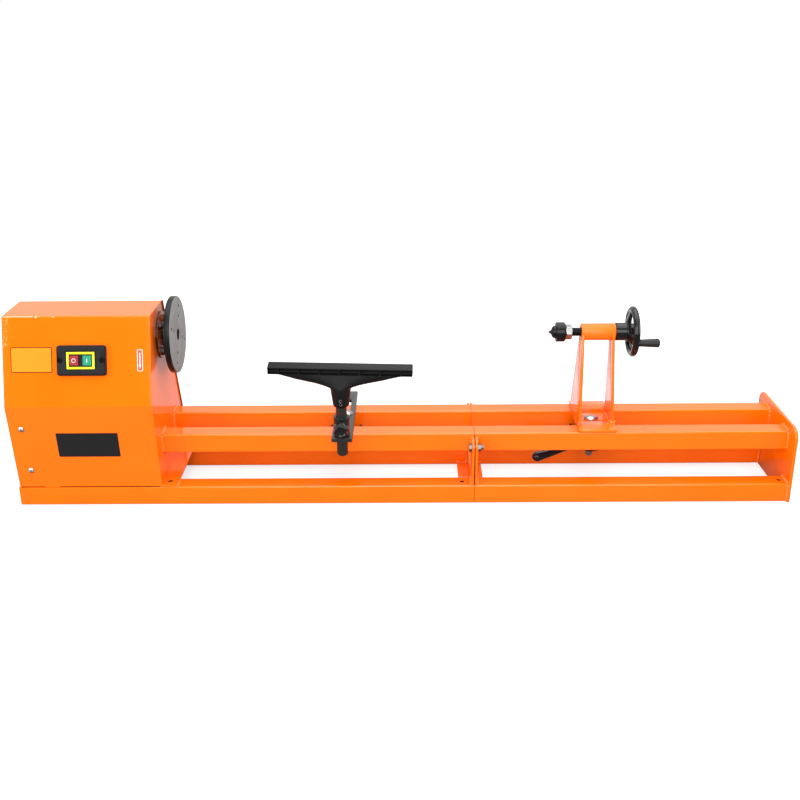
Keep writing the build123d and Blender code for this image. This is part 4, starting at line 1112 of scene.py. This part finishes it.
def star_grip(name, centre, axis, diameter, lobes, depth, rounding, turned_by):
    """Lobed grip that stands out along an axis from a centre, with a rounded front edge."""
    axis = Vector(axis)
    across = Vector((1.0, 0.0, 0.0))
    upward = axis.cross(across)
    lobe = LOBE_SHARE * diameter
    core = CORE_SHARE * diameter
    seat = diameter / 2 - lobe
    points = []
    for index in range(lobes * LOBE_POINTS):
        turn = 2 * pi * index / (lobes * LOBE_POINTS)
        lean = (turn + pi / lobes) % (2 * pi / lobes) - pi / lobes
        spare = max(0.0, lobe ** 2 - (seat * sin(lean)) ** 2)
        radius = max(core, seat * cos(lean) + spare ** 0.5)
        place = turn + turned_by
        points.append(Vector(centre) + across * radius * cos(place) + upward * radius * sin(place))
    piece = slab(name, points, axis * (depth - rounding))
    pick_faces(piece, (axis,))
    steps = [radians(angle) for angle in ROUNDING_ANGLES]
    for here, there in zip(steps, steps[1:]):
        inward = rounding * (cos(here) - cos(there))
        bpy.ops.mesh.inset(thickness=inward, depth=rounding * (sin(there) - sin(here)))
    leave_edit()
    return piece


class LATHE_OT_star_knobs(bpy.types.Operator):
    """Moulds the lock knob of the post and the clamp knob under the bed"""

    bl_idname = "lathe.star_knobs"
    bl_label = "Mould the star knobs"

    def execute(self, context):
        self.lock_knob()
        self.clamp_knob()
        return {"FINISHED"}

    def lock_knob(self):
        """Knob with a round boss on its front, a neck and its screw."""
        low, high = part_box("lock_knob")
        diameter = high.x - low.x
        centre = Vector(((low.x + high.x) / 2, low.y, (low.z + high.z) / 2))
        depth, boss_rise = 0.013, 0.0022
        rear = centre + Vector((0.0, depth, 0.0))
        grip = star_grip(
            "lock_grip", rear, (0.0, -1.0, 0.0), diameter, lobes=6, depth=depth - boss_rise, rounding=0.0030,
            turned_by=radians(20.0),
        )
        front = turned("lock_boss", self.boss(0.38 * diameter), centre, (0.0, 1.0, 0.0), steps=48)
        stem = turned("lock_stem", self.shank(high.y - rear.y), rear, (0.0, 1.0, 0.0))
        piece = settle(join([grip, front, stem], "lock_knob_star"), "lock_knob", "black_gloss")
        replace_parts(piece, "lock_knob")

    def boss(self, radius):
        """Profile of the boss: a rounded rim about a dished face."""
        root, dish = 0.004, 0.0016
        rim = [(0.0009, 0.0), (0.0002, 0.0006), (0.0, 0.0013), (0.0003, 0.0020), (0.0012, 0.0028)]
        rounded = [(along, radius - inward) for along, inward in rim]
        return [(root, 0.0), (root, radius), *rounded, (dish, radius - 0.0036), (dish, 0.0)]

    def shank(self, reach):
        """Profile of the neck and the screw, each with a bevelled end."""
        neck, neck_radius, screw_radius = 0.006, 0.0065, 0.004
        sunk, bevel = -0.001, 0.0006
        profile = [(sunk, 0.0), (sunk, neck_radius), (neck - bevel, neck_radius)]
        profile += [(neck, neck_radius - bevel), (neck, screw_radius), (reach - bevel, screw_radius)]
        return profile + [(reach, screw_radius - bevel), (reach, 0.0)]

    def clamp_knob(self):
        """Larger knob on the clamp bolt."""
        low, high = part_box("rest_clamp_knob")
        bolt_low, bolt_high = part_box("rest_clamp_bolt")
        centre = (bolt_low + bolt_high) / 2
        top = Vector((centre.x, centre.y, high.z))
        grip = star_grip(
            "clamp_knob_star", top, (0.0, 0.0, -1.0), diameter=0.044, lobes=5, depth=high.z - low.z,
            rounding=0.0045, turned_by=0.0,
        )
        piece = settle(grip, "rest_clamp_knob", "black_gloss")
        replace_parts(piece, "rest_clamp_knob")


class LATHE_OT_fasteners(bpy.types.Operator):
    """Cuts the threads of the bolts that show beyond their nuts, and turns the rims of the set screws"""

    bl_idname = "lathe.fasteners"
    bl_label = "Cut the bolt threads"

    def execute(self, context):
        bolt_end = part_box("joint_fasteners")[1].x
        joint_tail, joint_y, joint_z = 0.0045, 0.084, 0.103
        places = [(-joint_y, joint_z), (joint_y, joint_z)]
        self.tails("joint_bolt_threads", bolt_end - joint_tail, bolt_end, places, "zinc")
        self.screw_rims()
        flange_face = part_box("spindle_housing")[1].x
        nut, tail, ring = 0.0065, 0.0105, 0.033
        turns = [radians(45.0 + 90.0 * index) for index in range(4)]
        places = [(ring * cos(turn), AXIS_Z + ring * sin(turn)) for turn in turns]
        self.tails("flange_bolt_threads", flange_face + nut, flange_face + tail, places, "black_bolt")
        return {"FINISHED"}

    def screw_rims(self):
        """Bright rims of the two set-screw holes in the tool rest."""
        low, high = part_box("rest_set_screws")
        corners = [vertex.co for vertex in frame["nodes"]["rest_set_screws"].data.vertices]
        middle = (low.z + high.z) / 2
        inner, outer, out, sunk = 0.0021, 0.0024, -0.0008, -0.0002
        section = [(sunk, inner), (out, inner), (out, outer), (sunk, outer), (sunk, inner)]
        rearward = Vector((0.0, 1.0, 0.0))
        rims = []
        for upper in (False, True):
            screw = [corner for corner in corners if (corner.z > middle) == upper]
            centre = front_centre(screw, -rearward, depth=0.0002)
            rims.append(turned("screw_rim", section, centre, rearward, steps=24))
        settle(join(rims, "set_screw_rims"), "rest_head", "bare_steel")

    def tails(self, name, start, end, places, finish):
        """Thread ridges of one row of bolts along X at given (Y, Z) places."""
        sizes = bpy.context.scene.lathe_sizes
        shape = (end - start, sizes.bolt_root, sizes.bolt_crest, sizes.bolt_pitch)
        ridges = [thread(name, (start, y, z), *shape, steps=20) for y, z in places]
        settle(join(ridges, name), "bed", finish)


class LATHE_OT_wall_lip(bpy.types.Operator):
    """Folds the narrow lip along the rear edge of the headstock wall, dark red as painted shade on its inner
    side
    """

    bl_idname = "lathe.wall_lip"
    bl_label = "Fold the wall lip"

    def execute(self, context):
        thick, width = 0.0015, 0.0022
        outer = [Vector((WALL_FACE, y, z)) for y, z in WALL_REAR]
        inner = [Vector((WALL_FACE, y - thick, z)) for y, z in reversed(WALL_REAR)]
        # Painted shade: the lip takes the dark red of the joints for the shade on its inner face
        settle(slab("wall_rear_lip", outer + inner, Vector((width, 0.0, 0.0))), "bed", "seam")
        return {"FINISHED"}


class LATHE_OT_cover_gap_shadow(bpy.types.Operator):
    """Lays a dark strip that paints the shadow in the gap under the cover's front edge"""

    bl_idname = "lathe.cover_strip"
    bl_label = "Shade the cover gap"

    def execute(self, context):
        gap, setback, thick = 0.0001, 0.0012, 0.0010
        left_run, right_run = (-0.8085, -0.7690), (-0.7404, -0.5620)
        bottom, top = BEAM_HIGH.z + gap, PANEL_FOOT[1] - gap
        y = PANEL_FOOT[0] + setback
        strips = []
        for start, end in (left_run, right_run):
            corners = ((start, bottom), (end, bottom), (end, top), (start, top))
            points = [Vector((x, y, z)) for x, z in corners]
            strips.append(slab("cover_strip", points, Vector((0.0, thick, 0.0))))
        # Painted shadow: a near-black strip stands in for the shade in the gap
        settle(join(strips, "cover_gap_shadow"), "bed", "gap_shade")
        return {"FINISHED"}


class LATHE_OT_bed_seams(bpy.types.Operator):
    """Fills the seams in the middle of the bed with paint, a little below the tubes' faces"""

    bl_idname = "lathe.bed_seams"
    bl_label = "Fill the bed seams"

    def execute(self, context):
        rail_depth, beam_depth, cut = 0.0003, 0.0012, 0.0015
        fills = []
        for node, below in (
            ("right_front_rail", rail_depth), ("right_rear_rail", rail_depth),
            ("right_front_beam", beam_depth), ("right_rear_beam", beam_depth),
        ):
            low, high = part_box(node)
            near, far = low.y + below, high.y - below
            bottom, top = low.z + below, high.z - below
            corners = [(near + cut, bottom), (far - cut, bottom), (far, bottom + cut), (far, top - cut)]
            corners += [(far - cut, top), (near + cut, top), (near, top - cut), (near, bottom + cut)]
            points = [Vector((-low.x, y, z)) for y, z in corners]
            fills.append(slab(node + "_seam", points, Vector((2 * low.x, 0.0, 0.0))))
        settle(join(fills, "bed_seam_paint"), "bed", "seam")
        return {"FINISHED"}


CAMERA_PLACE = (-0.1157, -1.7598, 0.8672)
CAMERA_PITCH = radians(21.88)
CAMERA_YAW = radians(0.540)
CAMERA_ROLL = radians(-0.519)
FRAME_PIXELS = 800.0
FOCAL_PIXELS = 1039.46
SENSOR_MM = 36.0
LAMP_AIM = Vector((-0.1, 0.0, 0.15))
FLOOR_Z = -0.0006


def seen_rays(tree):
    """Outputs of a light-path node, and a mask of the rays that the camera sees directly."""
    rays = tree.nodes.new("ShaderNodeLightPath").outputs
    return rays, math_node(tree, "MAXIMUM", rays["Is Camera Ray"], rays["Is Transmission Ray"])


def add_lamp(name, place, width, height, power):
    """Large soft lamp that is aimed at the lathe."""
    bpy.ops.object.light_add(type="AREA", location=place)
    lamp = bpy.context.object
    lamp.name = name
    lamp.data.shape = "RECTANGLE"
    lamp.data.size = width
    lamp.data.size_y = height
    lamp.data.energy = power
    lamp.rotation_euler = (LAMP_AIM - Vector(place)).to_track_quat("-Z", "Y").to_euler()


class LATHE_OT_stage(bpy.types.Operator):
    """Makes the pale floor, the soft lamps, the white surround and the camera"""

    bl_idname = "lathe.stage"
    bl_label = "Set the stage"

    def execute(self, context):
        scene = context.scene
        scene.view_settings.view_transform = "Standard"
        self.floor(scene.lathe_sizes.floor_size)
        self.surround(scene)
        add_lamp("lamp_top", place=(0.2, 0.3, 2.8), width=3.4, height=3.4, power=104.0)
        add_lamp("lamp_front", place=(-0.5, -2.2, 2.5), width=1.8, height=1.8, power=28.0)
        add_lamp("lamp_low", place=(0.1, -2.7, 1.35), width=2.2, height=1.8, power=52.0)
        add_lamp("lamp_right", place=(3.0, -0.9, 1.3), width=2.2, height=2.2, power=50.0)
        add_lamp("lamp_left", place=(-3.0, -2.1, 1.1), width=2.0, height=1.8, power=68.0)
        turn = Matrix.Rotation(CAMERA_YAW, 4, "Z") @ Matrix.Rotation(pi / 2 - CAMERA_PITCH, 4, "X")
        turn = turn @ Matrix.Rotation(CAMERA_ROLL, 4, "Z")
        bpy.ops.object.camera_add(location=CAMERA_PLACE, rotation=turn.to_euler())
        camera = context.object
        camera.data.sensor_width = SENSOR_MM
        camera.data.lens = FOCAL_PIXELS / FRAME_PIXELS * SENSOR_MM
        camera.data.clip_end = 100.0
        scene.camera = camera
        return {"FINISHED"}

    def floor(self, size):
        """Pale floor under the beams that fades to white away from the lathe."""
        bpy.ops.mesh.primitive_plane_add(size=size, location=(0.0, 0.0, FLOOR_Z))
        floor = bpy.context.object
        floor.name = "stage_floor"
        material, tree, shader = new_material("pale_floor", specular=0.1)
        place = object_place(tree)
        reach = vector_node(tree, "LENGTH", vector_node(tree, "MULTIPLY", place, (0.45, 1.0, 0.0)))
        axes = split_axes(tree, place)
        rays, seen = seen_rays(tree)
        fade = range_node(tree, reach, low=0.25, high=0.75, to_low=0.64)
        white = math_node(tree, "MULTIPLY", seen, fade)
        behind = range_node(tree, axes["Y"], low=0.08, high=0.30, to_low=0.10)
        from_left = range_node(tree, axes["X"], low=-0.05, high=0.17, to_low=0.5)
        to_right = range_node(tree, axes["X"], low=0.30, high=0.45, to_low=1.0, to_high=0.4)
        behind = math_node(tree, "MULTIPLY", math_node(tree, "MULTIPLY", behind, from_left), to_right)
        mirrored = math_node(tree, "MULTIPLY", rays["Is Glossy Ray"], behind)
        pale = blend(tree, rays["Is Glossy Ray"], 0.4, 0.12)
        give(
            tree, shader, Base_Color=pale, Roughness=0.8, Emission_Strength=1.0,
            Emission_Color=math_node(tree, "MAXIMUM", white, mirrored),
        )
        floor.data.materials.append(material)

    def surround(self, scene):
        """White surround behind the lathe, dimmer in front, and softer as a light."""
        world = bpy.data.worlds.new("studio_surround")
        scene.world = world
        world.use_nodes = True
        tree = world.node_tree
        axes = split_axes(tree, tree.nodes.new("ShaderNodeTexCoord").outputs["Generated"])
        mirrored = range_node(tree, axes["Y"], low=-0.5, high=0.25, to_low=0.10)
        rays, seen = seen_rays(tree)
        glossy = math_node(tree, "MULTIPLY", rays["Is Glossy Ray"], mirrored)
        unseen = math_node(tree, "MULTIPLY", rays["Is Diffuse Ray"], 0.30)
        strength = math_node(tree, "MAXIMUM", math_node(tree, "MAXIMUM", seen, glossy), unseen)
        give(tree, tree.nodes["Background"], Color=(1.0, 1.0, 1.0, 1.0), Strength=strength)


class LATHE_PT_dressing(bpy.types.Panel):
    """Lists the steps of the dressing"""

    bl_label = "Lathe"
    bl_idname = "LATHE_PT_dressing"
    bl_space_type = "VIEW_3D"
    bl_region_type = "UI"
    bl_category = "Lathe"

    def draw(self, context):
        for step in STEPS:
            self.layout.operator(step.bl_idname)
        for holder in (context.scene.lathe_sizes, context.scene.lathe_colours):
            for key in holder.bl_rna.properties.keys():
                if key not in {"rna_type", "name"}:
                    self.layout.prop(holder, key)


STEPS = (
    LATHE_OT_finishes,
    LATHE_OT_soft_edges,
    LATHE_OT_welds,
    LATHE_OT_labels,
    LATHE_OT_button_marks,
    LATHE_OT_feed_screw,
    LATHE_OT_star_knobs,
    LATHE_OT_fasteners,
    LATHE_OT_wall_lip,
    LATHE_OT_cover_gap_shadow,
    LATHE_OT_bed_seams,
    LATHE_OT_stage,
)
CLASSES = (LatheColours, LatheSizes, *STEPS, LATHE_PT_dressing)


def register():
    for item in CLASSES:
        bpy.utils.register_class(item)
    bpy.types.Scene.lathe_colours = PointerProperty(type=LatheColours)
    bpy.types.Scene.lathe_sizes = PointerProperty(type=LatheSizes)


def unregister():
    del bpy.types.Scene.lathe_colours
    del bpy.types.Scene.lathe_sizes
    for item in reversed(CLASSES):
        bpy.utils.unregister_class(item)


def main():
    register()
    bpy.ops.lathe.finishes()
    bpy.ops.lathe.soft_edges()
    bpy.ops.lathe.welds()
    bpy.ops.lathe.labels()
    bpy.ops.lathe.button_marks()
    bpy.ops.lathe.feed_screw()
    bpy.ops.lathe.star_knobs()
    bpy.ops.lathe.fasteners()
    bpy.ops.lathe.wall_lip()
    bpy.ops.lathe.cover_strip()
    bpy.ops.lathe.bed_seams()
    bpy.ops.lathe.stage()


if __name__ == "__main__":
    main()
